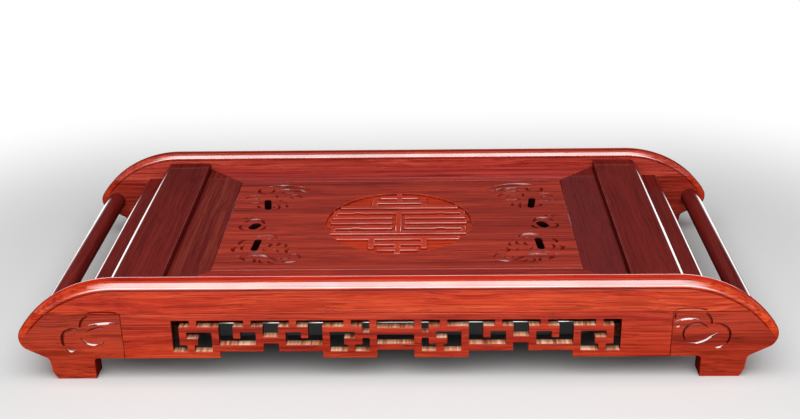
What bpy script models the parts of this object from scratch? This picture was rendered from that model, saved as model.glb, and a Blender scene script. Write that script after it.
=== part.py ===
"""A wooden tea tray: scroll-shaped side boards, a lift-out deck and a steel water pan.

Metres, +Z up. X runs along the tray, and the origin is its middle on the table.
The carcass stands on four feet, the deck lies on ledges and the pan hangs below it.
"""
import math

import bmesh
import bpy
from mathutils import Vector

# Overall size
tray_length = 0.600
tray_width = 0.292
tray_height = 0.0846

# Gaps between pieces, and how far a cutter runs past a face
glue_line = 0.0003
weld_share = 0.01
lift_gap = 0.0006
cut_overrun = 0.002

# Side boards: a top rail over two end blocks, with their scroll-shaped ends
board_thickness = 0.017
rail_underside = 0.0585
edge_round = 0.005
foot_edge_round = 0.0015
fall_radius = 0.096
tip_radius = 0.011
tip_height = 0.037
tuck_slope = math.radians(27.5)
block_length = 0.084
block_underside = 0.0185

# Feet, in one piece with the end blocks
foot_inset = 0.0245
foot_width = 0.0355
foot_outer_corner = 0.004
foot_inner_corner = 0.001
foot_inner_fillet = 0.0025
foot_outer_fillet = 0.005

# Fretwork panels under the top rails
fret_thickness = 0.0075
fret_bar = 0.0059
fret_slot = 0.0055
fret_brace = 0.0050
fret_margin = 0.0393
fret_notch_rise = 0.0072
cross_notch = 0.012
centre_rise = 0.0070
centre_sill = 0.0055
centre_window = 0.0084
centre_bar = 0.0059
cross_window_share = 0.1195
tall_slot_share = 0.1106
scroll_window_share = 0.1096
hook_gap_share = 0.0876

# Handle rods at the ends
rod_radius = 0.0082
rod_inset = 0.0155
rod_height = 0.037
rod_socket = 0.009

# End rails, end boards and end walls
end_rail_inset = 0.048
end_rail_thickness = 0.018
end_rail_round = 0.005
end_board_inset = 0.070
end_board_width = 0.043
end_board_underside = 0.061
end_board_thickness = 0.0155
end_board_round = 0.006
end_board_lip_round = 0.001
end_wall_thickness = 0.012
end_wall_height = 0.037

# Ledges on the end walls
deck_ledge_width = 0.028
deck_ledge_thickness = 0.0117
pan_ledge_width = 0.041
pan_ledge_thickness = 0.0117
pan_ledge_drop = 0.0074

# Deck: a mitred frame round a carved panel, on two battens
deck_top = 0.0705
deck_thickness = 0.012
deck_frame_width = 0.0345
tongue_length = 0.005
tongue_thickness = 0.0046
batten_place = 0.075
batten_width = 0.020
batten_thickness = 0.008
batten_setback = 0.013

# Round carving in the middle of the panel
medallion_radius = 0.0645
medallion_depth = 0.0025
stroke_pitch = 0.011
stroke_width = 0.0056
stem_width = 0.005
stem_gap = 0.0055
side_stroke_place = 0.057
side_stroke_width = 0.004
leg_place = 0.0225
link_gap_place = 0.037
link_gap_width = 0.007
link_gap_height = 0.008
middle_row_share = 0.93
last_row_share = 0.82
medallion_rows = 4

# Drain holes through the panel
drain_width = 0.0055
corner_drain_length = 0.022
corner_drain_inset = 0.0314
far_drain_place_y = 0.0395
near_drain_place_y = -0.0465
corner_drain_tilt = math.radians(8)
middle_drain_width = 0.008
middle_drain_length = 0.013
middle_drain_inset = 0.0254
middle_drain_place_y = -0.008
middle_drain_tilt = math.radians(25)

# Water pan
pan_sheet = 0.0008
pan_depth = 0.020
pan_flange_x = 0.0135
pan_flange_y = 0.0095
pan_corner = 0.012
pan_side_gap = 0.0015
pan_draft = 0.003

# Dowels and screws
dowel_radius = 0.003
dowel_sides = 12
block_dowel_length = 0.022
block_dowel_inset = 0.0475
block_dowel_pitch = 0.0183
rail_dowel_length = 0.024
rail_dowel_bite = 0.011
rail_dowel_setback = 0.009
screw_radius = 0.0016
screw_head_radius = 0.0035
screw_head_height = 0.0022
screw_length = 0.016
screw_setback = 0.010

# How finely curves are drawn
fall_steps = 10
tip_steps = 8
corner_steps = 4
round_steps = 3
rod_sides = 24
medallion_sides = 72
drain_steps = 6
sharp_angle = math.radians(30)
flat_angle = math.radians(1)

# Places worked out from the sizes above
half_length = tray_length / 2
board_outer = tray_width / 2
board_inner = board_outer - board_thickness
fret_inner = board_outer - fret_thickness
fret_top = rail_underside - glue_line
block_seam = half_length - block_length
fret_end = block_seam - glue_line
foot_outer = half_length - foot_inset
foot_inner = foot_outer - foot_width
rod_place = half_length - rod_inset
end_span = board_inner - glue_line
end_rail_inner = block_seam + glue_line
end_rail_outer = half_length - end_rail_inset
end_board_outer = half_length - end_board_inset
end_board_inner = end_board_outer - end_board_width
end_rail_top = end_board_underside - glue_line
end_rail_underside = end_rail_top - end_rail_thickness
end_wall_outer = end_rail_inner - glue_line
end_wall_inner = end_wall_outer - end_wall_thickness
end_wall_top = end_board_underside - glue_line
end_wall_underside = end_wall_top - end_wall_height
deck_underside = deck_top - deck_thickness
deck_reach_x = end_board_inner - lift_gap
deck_reach_y = board_inner - lift_gap
panel_reach_x = deck_reach_x - deck_frame_width
panel_reach_y = deck_reach_y - deck_frame_width
tongue_middle = deck_underside + deck_thickness / 2
deck_ledge_top = deck_underside - glue_line
deck_ledge_inner = end_wall_inner - glue_line - deck_ledge_width
batten_top = deck_underside - glue_line
pan_ledge_inner = end_wall_inner - glue_line - pan_ledge_width
pan_reach_x = deck_ledge_inner - lift_gap
pan_reach_y = board_inner - pan_side_gap
pan_body_x = min(pan_reach_x - pan_flange_x, pan_ledge_inner - lift_gap)
pan_body_y = pan_reach_y - pan_flange_y
pan_ledge_top = deck_ledge_top - deck_ledge_thickness - pan_ledge_drop
pan_rim = pan_ledge_top + glue_line + pan_sheet
pan_underside = pan_rim - pan_depth


# Where a point of a flat outline goes when it is carried along an axis
AXIS_PLACES = {
    "Y": lambda a, b, along: (a, along, b),
    "Z": lambda a, b, along: (a, b, along),
}


def weld_distance():
    """Points closer than this are one point."""
    return glue_line * weld_share


def clear_scene():
    """Remove every object that the new file starts with."""
    for item in list(bpy.data.objects):
        bpy.data.objects.remove(item, do_unlink=True)


def make_material(name, colour, roughness, metallic=0.0):
    """A plain Principled material in one colour."""
    material = bpy.data.materials.new(name)
    material.use_nodes = True
    shader = material.node_tree.nodes["Principled BSDF"]
    shader.inputs["Base Color"].default_value = (*colour, 1.0)
    shader.inputs["Roughness"].default_value = roughness
    shader.inputs["Metallic"].default_value = metallic
    return material


def is_facet_of_curve(face):
    """Whether a face is a narrow strip that bends gently into its neighbours."""
    if len(face.verts) != 4 or min(edge.calc_length() for edge in face.edges) > edge_round:
        return False
    bends = [edge.calc_face_angle(0) for edge in face.edges]
    return sum(flat_angle < bend < sharp_angle for bend in bends) > 1


def add_object(name, bm, material, parent=None):
    """Close a bmesh's normals, turn it into an object and shade its round faces smooth."""
    bmesh.ops.remove_doubles(bm, verts=bm.verts, dist=weld_distance())
    bmesh.ops.recalc_face_normals(bm, faces=bm.faces)
    for face in bm.faces:
        face.smooth = is_facet_of_curve(face)
    mesh = bpy.data.meshes.new(name)
    bm.to_mesh(mesh)
    bm.free()
    mesh.set_sharp_from_angle(angle=sharp_angle)
    mesh.materials.append(material)
    item = bpy.data.objects.new(name, mesh)
    item.parent = parent
    bpy.context.scene.collection.objects.link(item)
    return item


def add_cutter(name, bm):
    """An object that only cuts others, so it isn't rendered."""
    cutter = add_object(name, bm, None)
    cutter.hide_render = True
    cutter.display_type = "WIRE"
    return cutter


def cut(target, cutter):
    """Take a closed cutter out of a target and leave the modifier live."""
    modifier = target.modifiers.new(cutter.name, "BOOLEAN")
    modifier.operation = "DIFFERENCE"
    modifier.solver = "EXACT"
    modifier.object = cutter


def arc(centre, radius, start, end, steps):
    """Points on an arc from one angle to another, both ends included."""
    angles = [start + (end - start) * step / steps for step in range(steps + 1)]
    return [centre + radius * Vector((math.cos(angle), math.sin(angle))) for angle in angles]


def rounded_corners(corners):
    """An outline from corners (x, y, radius), each one turned by an arc of its own radius."""
    points = []
    for index, (x, y, radius) in enumerate(corners):
        corner = Vector((x, y))
        if radius == 0:
            points.append(corner)
            continue
        before = Vector(corners[index - 1][:2]) - corner
        after = Vector(corners[(index + 1) % len(corners)][:2]) - corner
        before.normalize()
        after.normalize()
        half_angle = before.angle(after) / 2
        centre = corner + (before + after).normalized() * radius / math.sin(half_angle)
        start = corner + before * radius / math.tan(half_angle) - centre
        end = corner + after * radius / math.tan(half_angle) - centre
        turn = start.angle_signed(end)
        first = math.atan2(start.y, start.x)
        points += arc(centre, radius, first, first - turn, corner_steps)
    return points


def extrude(bm, outline, axis, low, high):
    """Add a prism to a bmesh: a flat outline carried along Y or Z."""
    places = AXIS_PLACES[axis]
    rings = [[bm.verts.new(places(a, b, along)) for a, b in outline] for along in (low, high)]
    for ring in rings:
        bm.faces.new(ring)
    count = len(outline)
    for index in range(count):
        after = (index + 1) % count
        bm.faces.new((rings[0][index], rings[0][after], rings[1][after], rings[1][index]))


def prism(outline, axis, low, high):
    """A bmesh with one prism in it."""
    bm = bmesh.new()
    extrude(bm, outline, axis, low, high)
    return bm


def stops(values):
    """Sorted places, with those that fall together taken as one."""
    kept = []
    for value in sorted(values):
        if not kept or value - kept[-1] > weld_distance():
            kept.append(value)
    return kept


def inside(boxes, x, y):
    """Whether a point lies in any of the rectangles."""
    return any(box[0] < x < box[1] and box[2] < y < box[3] for box in boxes)


def cell_prism(solids, voids, axis, low, high):
    """A prism over rectangles less others, in cells between all their edges."""
    xs = stops(x for box in (*solids, *voids) for x in box[:2])
    ys = stops(y for box in (*solids, *voids) for y in box[2:])
    full = set()
    for i in range(len(xs) - 1):
        for j in range(len(ys) - 1):
            middle = ((xs[i] + xs[i + 1]) / 2, (ys[j] + ys[j + 1]) / 2)
            if inside(solids, *middle) and not inside(voids, *middle):
                full.add((i, j))
    places = AXIS_PLACES[axis]
    bm = bmesh.new()
    corners = {}
    for i, x in enumerate(xs):
        for j, y in enumerate(ys):
            corners[i, j] = [bm.verts.new(places(x, y, along)) for along in (low, high)]
    for i, j in full:
        around = [(i, j), (i + 1, j), (i + 1, j + 1), (i, j + 1)]
        for level in (0, 1):
            bm.faces.new([corners[corner][level] for corner in around])
        for edge, beside in enumerate([(i, j - 1), (i + 1, j), (i, j + 1), (i - 1, j)]):
            if beside not in full:
                first = corners[around[edge]]
                second = corners[around[(edge + 1) % 4]]
                bm.faces.new((first[0], second[0], second[1], first[1]))
    bmesh.ops.delete(bm, geom=[vert for vert in bm.verts if not vert.link_faces], context="VERTS")
    bmesh.ops.recalc_face_normals(bm, faces=bm.faces)
    bmesh.ops.dissolve_limit(bm, angle_limit=flat_angle, verts=bm.verts, edges=bm.edges)
    return bm


def rectangle(x_low, x_high, y_low, y_high):
    """The four corners of a rectangle, in order."""
    return [(x_low, y_low), (x_high, y_low), (x_high, y_high), (x_low, y_high)]


def block(x_low, x_high, y_low, y_high, z_low, z_high):
    """A bmesh with one rectangular block in it."""
    return prism(rectangle(x_low, x_high, y_low, y_high), "Z", z_low, z_high)


def polygon(centre, radius, sides):
    """The corners of a regular polygon, for rods, bores and discs."""
    return arc(Vector(centre), radius, 0, math.tau * (sides - 1) / sides, sides - 1)


def capsule(centre, length, width, tilt):
    """The outline of a straight slot with round ends, turned from Y by a tilt."""
    points = []
    for end in (1, -1):
        middle = Vector((0, end * (length - width) / 2))
        first = 0 if end > 0 else math.pi
        points += arc(middle, width / 2, first, first + math.pi, drain_steps)
    turned = []
    for point in points:
        x = point.x * math.cos(tilt) - point.y * math.sin(tilt)
        y = point.x * math.sin(tilt) + point.y * math.cos(tilt)
        turned.append(Vector((x, y)) + Vector(centre))
    return turned


def mirrored(points, side):
    """An outline as it is, or flipped to the other side of the middle."""
    return [Vector((side * x, y)) for x, y in points]


def rim_inset(outline, radii, seams, index):
    """How far the rounded rim moves in at one point of an outline.

    A point's rim lies the same distance in from both of its edges. Beside a seam,
    which stays square, it slides along the seam instead.
    """
    count = len(outline)
    normals = []
    for edge in ((index - 1) % count, index):
        along = (outline[(edge + 1) % count] - outline[edge]).normalized()
        normals.append(Vector((-along.y, along.x)))
    depths = [0 if edge % count in seams else radii[index] for edge in (index - 1, index)]
    if depths[0] == depths[1]:
        return (normals[0] + normals[1]) * depths[0] / (1 + normals[0].dot(normals[1]))
    cross = normals[0].x * normals[1].y - normals[0].y * normals[1].x
    x = (depths[0] * normals[1].y - depths[1] * normals[0].y) / cross
    y = (depths[1] * normals[0].x - depths[0] * normals[1].x) / cross
    return Vector((x, y))


def rounded_plate(outline, radii, seams, y_low, y_high):
    """A plate standing in the XZ plane, its rim rounded over on both faces.

    The outline runs anticlockwise, each point has its own rounding radius, and the
    edges numbered in seams stay square because another piece is glued to them.
    """
    insets = [rim_inset(outline, radii, seams, index) for index in range(len(outline))]
    bm = bmesh.new()
    rings = []
    for y_face, inward in ((y_low, 1), (y_high, -1)):
        turns = [step * math.pi / 2 / round_steps for step in range(round_steps + 1)]
        turns = turns[::-1] if inward > 0 else turns
        for turn in turns:
            ring = []
            for point, inset, radius in zip(outline, insets, radii):
                place = point + inset * (1 - math.cos(turn))
                y = y_face + inward * radius * (1 - math.sin(turn))
                ring.append(bm.verts.new((place.x, y, place.y)))
            rings.append(ring)
    bm.faces.new(rings[0])
    bm.faces.new(rings[-1])
    for lower, upper in zip(rings, rings[1:]):
        for index in range(len(outline)):
            after = (index + 1) % len(outline)
            bm.faces.new((lower[index], lower[after], upper[after], upper[index]))
    bmesh.ops.remove_doubles(bm, verts=bm.verts, dist=weld_distance())
    bmesh.ops.dissolve_degenerate(bm, dist=weld_distance(), edges=bm.edges)
    return bm


def fall_centre():
    """Middle of the long arc in which a side board falls from its flat top to its tip."""
    drop = tip_height - (tray_height - fall_radius)
    reach = math.sqrt((fall_radius - tip_radius) ** 2 - drop ** 2)
    return Vector((half_length - tip_radius - reach, tray_height - fall_radius))


def fall_angle(height):
    """Angle on the long arc at which it passes a height."""
    return math.asin((height - fall_centre().y) / fall_radius)


def tip_centre():
    """Middle of the small arc that turns round the tip."""
    return Vector((half_length - tip_radius, tip_height))


def tip_angle():
    """Angle at which the long arc runs into the small one."""
    between = tip_centre() - fall_centre()
    return math.atan2(between.y, between.x)


def rail_outline():
    """Top rail, anticlockwise: flat underside, two falling ends and a flat top."""
    start = fall_angle(rail_underside)
    right = arc(fall_centre(), fall_radius, start, math.pi / 2, fall_steps)
    left = mirrored(right, -1)[::-1]
    return right + left


def block_outline():
    """Right-hand end block, anticlockwise, from the seam's lower corner."""
    tuck_turn = tuck_slope - math.pi / 2
    tuck_start = arc(tip_centre(), tip_radius, tuck_turn, tip_angle(), tip_steps)
    first = tuck_start[0]
    tuck_height = first.y - (first.x - foot_outer) * math.tan(tuck_slope)
    corners = [
        (block_seam, block_underside, 0),
        (foot_inner, block_underside, foot_inner_fillet),
        (foot_inner, 0, foot_inner_corner),
        (foot_outer, 0, foot_outer_corner),
        (foot_outer, tuck_height, foot_outer_fillet),
        (first.x, first.y, 0),
    ]
    lower = rounded_corners(corners + [(block_seam, first.y, 0)])[:-2]
    top = rail_underside - glue_line
    upper = arc(fall_centre(), fall_radius, tip_angle(), fall_angle(top), fall_steps // 2)[1:]
    return lower + tuck_start + upper + [Vector((block_seam, top))], len(lower)


def add_top_rail(name, side, wood):
    """Long rail along the top of a side board, with bores for the dowels below it."""
    outline = rail_outline()
    radii = [edge_round] * len(outline)
    seams = {len(outline) - 1}
    low, high = sorted((side * board_inner, side * board_outer))
    return add_object(name, rounded_plate(outline, radii, seams, low, high), wood)


def block_radii(outline, lower_count):
    """Rounding along an end block: full on the scroll, tapering to a thin one at the foot."""
    radii = []
    for index in range(len(outline)):
        past_foot = (index - lower_count) / tip_steps
        share = min(max(past_foot, 0), 1)
        radii.append(foot_edge_round + (edge_round - foot_edge_round) * share)
    return radii


def add_end_block(name, end, side, wood):
    """End block of a side board: the tip of the scroll and a foot in one piece."""
    outline, lower_count = block_outline()
    radii = block_radii(outline, lower_count)
    seams = {len(outline) - 1, len(outline) - 2}
    if end < 0:
        outline = mirrored(outline, -1)[::-1]
        radii = radii[::-1]
        seams = {len(outline) - 1, 0}
    low, high = sorted((side * board_inner, side * board_outer))
    return add_object(name, rounded_plate(outline, radii, seams, low, high), wood)


def dowel(centre, axis, length, gap=0):
    """A round dowel, or with a gap the bore that it sits in."""
    middles = {"Y": (centre[0], centre[2]), "Z": (centre[0], centre[1])}
    along = {"Y": centre[1], "Z": centre[2]}[axis]
    outline = polygon(middles[axis], dowel_radius + gap, dowel_sides)
    reach = length / 2 + gap
    return prism(outline, axis, along - reach, along + reach)


def block_dowel_centres(end, side):
    """Dowels that stand in an end block and reach up into the top rail."""
    middle = side * (board_inner + board_outer) / 2
    outer = half_length - block_dowel_inset
    return [(end * place, middle, rail_underside) for place in (outer - block_dowel_pitch, outer)]


def rail_dowel_centres(end, side):
    """Dowels that run from an end rail sideways into an end block."""
    middle = side * (board_inner + rail_dowel_bite - rail_dowel_length / 2)
    height = (end_rail_top + end_rail_underside) / 2
    places = (end_rail_inner + rail_dowel_setback, end_rail_outer - rail_dowel_setback)
    return [(end * place, middle, height) for place in places]


def add_rod(name, end, gap, wood):
    """Handle rod between the side boards, or with a gap the sockets that it sits in."""
    outline = polygon((end * rod_place, rod_height), rod_radius + gap, rod_sides)
    reach = board_inner + rod_socket + gap
    bm = prism(outline, "Y", -reach, reach)
    return add_object(name, bm, wood) if gap == 0 else add_cutter(name, bm)


def place_name(end=0, side=0):
    """Words for a place: near or far, left or right."""
    side_word = {-1: "near", 0: "", 1: "far"}[side]
    end_word = {-1: "left", 0: "", 1: "right"}[end]
    return "_".join(word for word in (side_word, end_word) if word)


def add_side_boards(woods):
    """Both side boards, doweled together and bored for the handle rods."""
    sockets = {end: add_rod("rod_socket_" + place_name(end), end, glue_line, None) for end in (-1, 1)}
    for side in (-1, 1):
        rail = add_top_rail(place_name(side=side) + "_top_rail", side, woods["side"])
        for end in (-1, 1):
            corner = place_name(end, side)
            end_block = add_end_block(corner + "_end_block", end, side, woods["side"])
            cut(end_block, sockets[end])
            for number, centre in enumerate(block_dowel_centres(end, side), 1):
                bm = dowel(centre, "Z", block_dowel_length, glue_line)
                bore = add_cutter(f"{corner}_block_bore_{number}", bm)
                cut(rail, bore)
                cut(end_block, bore)
                bm = dowel(centre, "Z", block_dowel_length)
                add_object(f"{corner}_block_dowel_{number}", bm, woods["dowel"])
            for number, centre in enumerate(rail_dowel_centres(end, side), 1):
                bm = dowel(centre, "Y", rail_dowel_length, glue_line)
                cut(end_block, add_cutter(f"{corner}_rail_bore_{number}", bm))


def fret_heights():
    """Levels of the fretwork, from its lower edge to the top of its openings."""
    first = block_underside + fret_bar
    second = first + fret_bar
    third = second + fret_bar
    fourth = third + fret_slot
    fifth = fourth + fret_brace
    return [block_underside, first, second, third, fourth, fifth, fifth + fret_slot]


def fret_widths():
    """Distances of the fretwork's edges from the middle of a cross, going outwards.

    The bars and slots keep their widths. The windows take shares of what is left
    between the panel's middle and the plain wood at its end, the middle one the rest.
    """
    bars = cross_notch + 2 * (4 * fret_bar + fret_slot) + fret_bar
    room = fret_end - fret_margin - bars
    steps = [cross_notch / 2, fret_bar, room * cross_window_share, fret_bar]
    steps += [room * tall_slot_share, fret_bar, room * scroll_window_share]
    steps += [room * hook_gap_share, fret_bar, fret_slot]
    places = [0]
    for step in steps:
        places.append(places[-1] + step)
    return places


def cross_centre():
    """Distance of a cross's middle from the middle of the panel."""
    return fret_end - fret_margin - fret_widths()[-1]


def cross_openings():
    """Openings of one cross and its two scrolls, as boxes from the cross's own middle."""
    z = fret_heights()
    u = fret_widths()
    stub_low = (u[2] + u[3] - fret_bar) / 2
    well_floor = z[1] + fret_notch_rise + fret_bar
    boxes = [(-u[1], u[1], well_floor, z[6]), (-stub_low, stub_low, z[5], z[6])]
    for side in (-1, 1):
        half = [
            (u[2], u[3], z[2], z[4]),
            (u[2], u[4], z[2], z[3]),
            (u[4], u[5], z[2], z[6]),
            (stub_low + fret_bar, u[7], z[5], z[6]),
            (u[6], u[7], z[1], z[4]),
            (u[6], u[8], z[3], z[4]),
            (u[6], u[8] - fret_bar, z[1], z[2]),
            (u[8], u[10], z[1], z[2]),
            (u[7] + fret_bar, u[10], z[5], z[6]),
        ]
        if side > 0:
            half.append((u[9], u[10], z[1], z[6]))
        else:
            half.append((u[9], u[10], z[1], z[3]))
            half.append((u[9], u[10], z[3] + fret_brace, z[6]))
        boxes += [(*sorted((side * a, side * b)), low, high) for a, b, low, high in half]
    return boxes


def centre_edge():
    """Half width of the plain openings in the middle of the panel."""
    return cross_centre() - fret_widths()[-1] - fret_bar


def fret_openings():
    """Every opening of a fretwork panel, as boxes in X and Z."""
    z = fret_heights()
    middle = cross_centre()
    boxes = []
    for side in (-1, 1):
        for a, b, low, high in cross_openings():
            boxes.append((*sorted((side * (middle + a), side * (middle + b))), low, high))
    edge = centre_edge()
    sill = block_underside + centre_rise + centre_sill
    boxes.append((-edge, edge, sill, sill + centre_window))
    boxes.append((-edge, edge, sill + centre_window + centre_bar, z[6]))
    return boxes


def fret_steps():
    """Steps and notches of a fretwork panel's lower edge, as boxes in X and Z."""
    z = fret_heights()
    u = fret_widths()
    edge = centre_edge()
    middle = cross_centre()
    boxes = [(-edge, edge, z[0], z[0] + centre_rise)]
    for side in (-1, 1):
        for half, low, high in ((u[5], z[0], z[1]), (u[1], z[1], z[1] + fret_notch_rise)):
            boxes.append((side * middle - half, side * middle + half, low, high))
    return boxes


def add_fret_panel(name, side, wood):
    """Pierced panel between two end blocks, flush with the outside of the board."""
    low, high = sorted((side * fret_inner, side * board_outer))
    whole = [(-fret_end, fret_end, block_underside, fret_top)]
    add_object(name, cell_prism(whole, fret_openings() + fret_steps(), "Y", low, high), wood)


def add_end_rail(name, end, wood):
    """Flat rail under an end board, rounded where a hand goes under it."""
    corners = [
        (end_rail_inner, end_rail_underside, 0),
        (end_rail_outer, end_rail_underside, end_rail_round),
        (end_rail_outer, end_rail_top, end_rail_round),
        (end_rail_inner, end_rail_top, 0),
    ]
    outline = mirrored(rounded_corners(corners), end)
    rail = add_object(name, prism(outline, "Y", -end_span, end_span), wood)
    for side in (-1, 1):
        for number, centre in enumerate(rail_dowel_centres(end, side), 1):
            cut(rail, bpy.data.objects[f"{place_name(end, side)}_rail_bore_{number}"])


def add_rail_dowels(end, wood):
    """Dowels between an end rail and the two end blocks beside it."""
    for side in (-1, 1):
        for number, centre in enumerate(rail_dowel_centres(end, side), 1):
            bm = dowel(centre, "Y", rail_dowel_length)
            add_object(f"{place_name(end, side)}_rail_dowel_{number}", bm, wood)


def add_end_board(name, end, wood):
    """Raised board beside the deck, with a bullnose on its outer edge."""
    top = end_board_underside + end_board_thickness
    corners = [
        (end_board_inner, end_board_underside, 0),
        (end_board_outer, end_board_underside, end_board_lip_round),
        (end_board_outer, top, end_board_round),
        (end_board_inner, top, end_board_lip_round),
    ]
    outline = mirrored(rounded_corners(corners), end)
    add_object(name, prism(outline, "Y", -end_span, end_span), wood)


def add_across(name, end, x_low, x_high, z_low, z_high, wood):
    """A plain wooden strip across the tray at one end."""
    low, high = sorted((end * x_low, end * x_high))
    add_object(name, block(low, high, -end_span, end_span, z_low, z_high), wood)


def add_ends(woods):
    """Handle rod, end rail, end board, end wall and ledges at both ends."""
    for end in (-1, 1):
        word = place_name(end)
        add_rod(word + "_handle_rod", end, 0, woods["dark"])
        add_end_rail(word + "_end_rail", end, woods["dark"])
        add_rail_dowels(end, woods["dowel"])
        add_end_board(word + "_end_board", end, woods["dark"])
        wall_heights = (end_wall_underside, end_wall_top)
        wall_places = (end_wall_inner, end_wall_outer)
        add_across(word + "_end_wall", end, *wall_places, *wall_heights, woods["plain"])
        ledge_outer = end_wall_inner - glue_line
        deck_heights = (deck_ledge_top - deck_ledge_thickness, deck_ledge_top)
        deck_places = (deck_ledge_inner, ledge_outer)
        add_across(word + "_deck_ledge", end, *deck_places, *deck_heights, woods["plain"])
        pan_heights = (pan_ledge_top - pan_ledge_thickness, pan_ledge_top)
        pan_places = (pan_ledge_inner, ledge_outer)
        add_across(word + "_pan_ledge", end, *pan_places, *pan_heights, woods["plain"])


def mirror_both_ways(x_low, x_high, y_low, y_high):
    """A box's copies in all four quarters of the medallion."""
    boxes = set()
    for side in (-1, 1):
        for end in (-1, 1):
            xs = sorted((end * x_low, end * x_high))
            ys = sorted((side * y_low, side * y_high))
            boxes.add((*xs, *ys))
    return sorted(boxes)


def medallion_strokes():
    """Strokes of the round carving that stay at the height of the panel."""
    half = stroke_width / 2
    rows = [stroke_pitch * number for number in range(medallion_rows)]
    last = rows[-1]
    leg_low = leg_place - stem_width / 2
    leg_high = leg_place + stem_width / 2
    side_low = side_stroke_place - side_stroke_width / 2
    side_high = side_stroke_place + side_stroke_width / 2
    cut_low = link_gap_place - link_gap_width / 2
    cut_high = link_gap_place + link_gap_width / 2
    quarter = [(stem_gap, medallion_radius * middle_row_share, -half, half)]
    quarter.append((0, stem_width / 2, 0, rows[2]))
    for number in (1, 2):
        inner = stem_gap if number == 1 else 0
        quarter.append((inner, cut_low, rows[number] - half, rows[number] + half))
        quarter.append((cut_high, side_high, rows[number] - half, rows[number] + half))
    between = (rows[1] + rows[2]) / 2
    quarter.append((cut_low, cut_high, rows[1] - half, between - link_gap_height / 2))
    quarter.append((cut_low, cut_high, between + link_gap_height / 2, rows[2] + half))
    quarter.append((0, medallion_radius * last_row_share, last - half, last + half))
    quarter.append((side_low, side_high, rows[1] - half, rows[2] + half))
    quarter.append((leg_low, leg_high, last, medallion_radius - stroke_pitch))
    quarter.append((0, leg_high, last + stroke_pitch - half, last + stroke_pitch + half))
    quarter.append((0, stem_width / 2, last + stroke_pitch, medallion_radius))
    outer = last + 2 * stroke_pitch
    quarter.append((0, leg_low - stem_gap / 2, outer - half, outer + half))
    boxes = []
    for box in quarter:
        boxes += mirror_both_ways(*box)
    return boxes


def medallion_recess():
    """Cutter for the round carving: a disc with the strokes taken out of it."""
    disc = polygon((0, 0), medallion_radius, medallion_sides)
    floor = deck_top - medallion_depth
    recess = add_cutter("medallion_recess", prism(disc, "Z", floor, deck_top + cut_overrun))
    bm = cell_prism(medallion_strokes(), [], "Z", floor - cut_overrun, deck_top + 2 * cut_overrun)
    cut(recess, add_cutter("medallion_strokes", bm))
    return recess


def drain_outlines():
    """Outlines of the six drain holes, three at each end of the panel."""
    corner_place = panel_reach_x - corner_drain_inset
    middle_place = panel_reach_x - middle_drain_inset
    outlines = []
    for end in (-1, 1):
        far = (end * corner_place, far_drain_place_y)
        near = (end * corner_place, near_drain_place_y)
        middle = (end * middle_place, middle_drain_place_y)
        outlines.append(capsule(far, corner_drain_length, drain_width, -end * corner_drain_tilt))
        outlines.append(capsule(near, corner_drain_length, drain_width, end * corner_drain_tilt / 2))
        outlines.append(capsule(middle, middle_drain_length, middle_drain_width, end * middle_drain_tilt))
    return outlines


def add_deck_panel(wood, parent):
    """Carved panel with a tongue all round, a round carving and six drain holes."""
    gap = glue_line
    reach_x = panel_reach_x - gap
    reach_y = panel_reach_y - gap
    panel = add_object("deck_panel", tongued_slab(reach_x, reach_y), wood, parent)
    cut(panel, medallion_recess())
    bm = bmesh.new()
    for outline in drain_outlines():
        extrude(bm, outline, "Z", deck_underside - cut_overrun, deck_top + cut_overrun)
    cut(panel, add_cutter("drain_holes", bm))


def tongued_slab(reach_x, reach_y):
    """A slab whose edges step in to a thin tongue, lofted from rectangles."""
    low = tongue_middle - tongue_thickness / 2
    high = tongue_middle + tongue_thickness / 2
    levels = [
        (0, deck_underside),
        (0, low),
        (tongue_length, low),
        (tongue_length, high),
        (0, high),
        (0, deck_top),
    ]
    bm = bmesh.new()
    rings = []
    for out, z in levels:
        corners = rectangle(-reach_x - out, reach_x + out, -reach_y - out, reach_y + out)
        rings.append([bm.verts.new((x, y, z)) for x, y in corners])
    close_loft(bm, rings)
    return bm


def close_loft(bm, rings):
    """Join rings of points with faces and cap both ends."""
    bm.faces.new(rings[0])
    bm.faces.new(rings[-1])
    for lower, upper in zip(rings, rings[1:]):
        count = len(lower)
        for index in range(count):
            after = (index + 1) % count
            bm.faces.new((lower[index], lower[after], upper[after], upper[index]))


def add_deck_frame(woods, parent):
    """Four mitred members round the panel, grooved for its tongue."""
    groove_low = tongue_middle - tongue_thickness / 2 - glue_line
    groove_high = tongue_middle + tongue_thickness / 2 + glue_line
    groove_x = panel_reach_x + tongue_length + glue_line
    groove_y = panel_reach_y + tongue_length + glue_line
    bm = block(-groove_x, groove_x, -groove_y, groove_y, groove_low, groove_high)
    groove = add_cutter("frame_groove", bm)
    gap = glue_line
    for end in (-1, 1):
        outline = [
            (end * panel_reach_x, -panel_reach_y + gap),
            (end * deck_reach_x, -deck_reach_y + gap),
            (end * deck_reach_x, deck_reach_y - gap),
            (end * panel_reach_x, panel_reach_y - gap),
        ]
        stile_bm = prism(outline, "Z", deck_underside, deck_top)
        cut(add_object(place_name(end) + "_deck_stile", stile_bm, woods["dark"], parent), groove)
    for side in (-1, 1):
        outline = [
            (-panel_reach_x + gap, side * panel_reach_y),
            (-deck_reach_x + gap, side * deck_reach_y),
            (deck_reach_x - gap, side * deck_reach_y),
            (panel_reach_x - gap, side * panel_reach_y),
        ]
        rail_bm = prism(outline, "Z", deck_underside, deck_top)
        rail = add_object(place_name(side=side) + "_deck_rail", rail_bm, woods["frame"], parent)
        cut(rail, groove)


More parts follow.
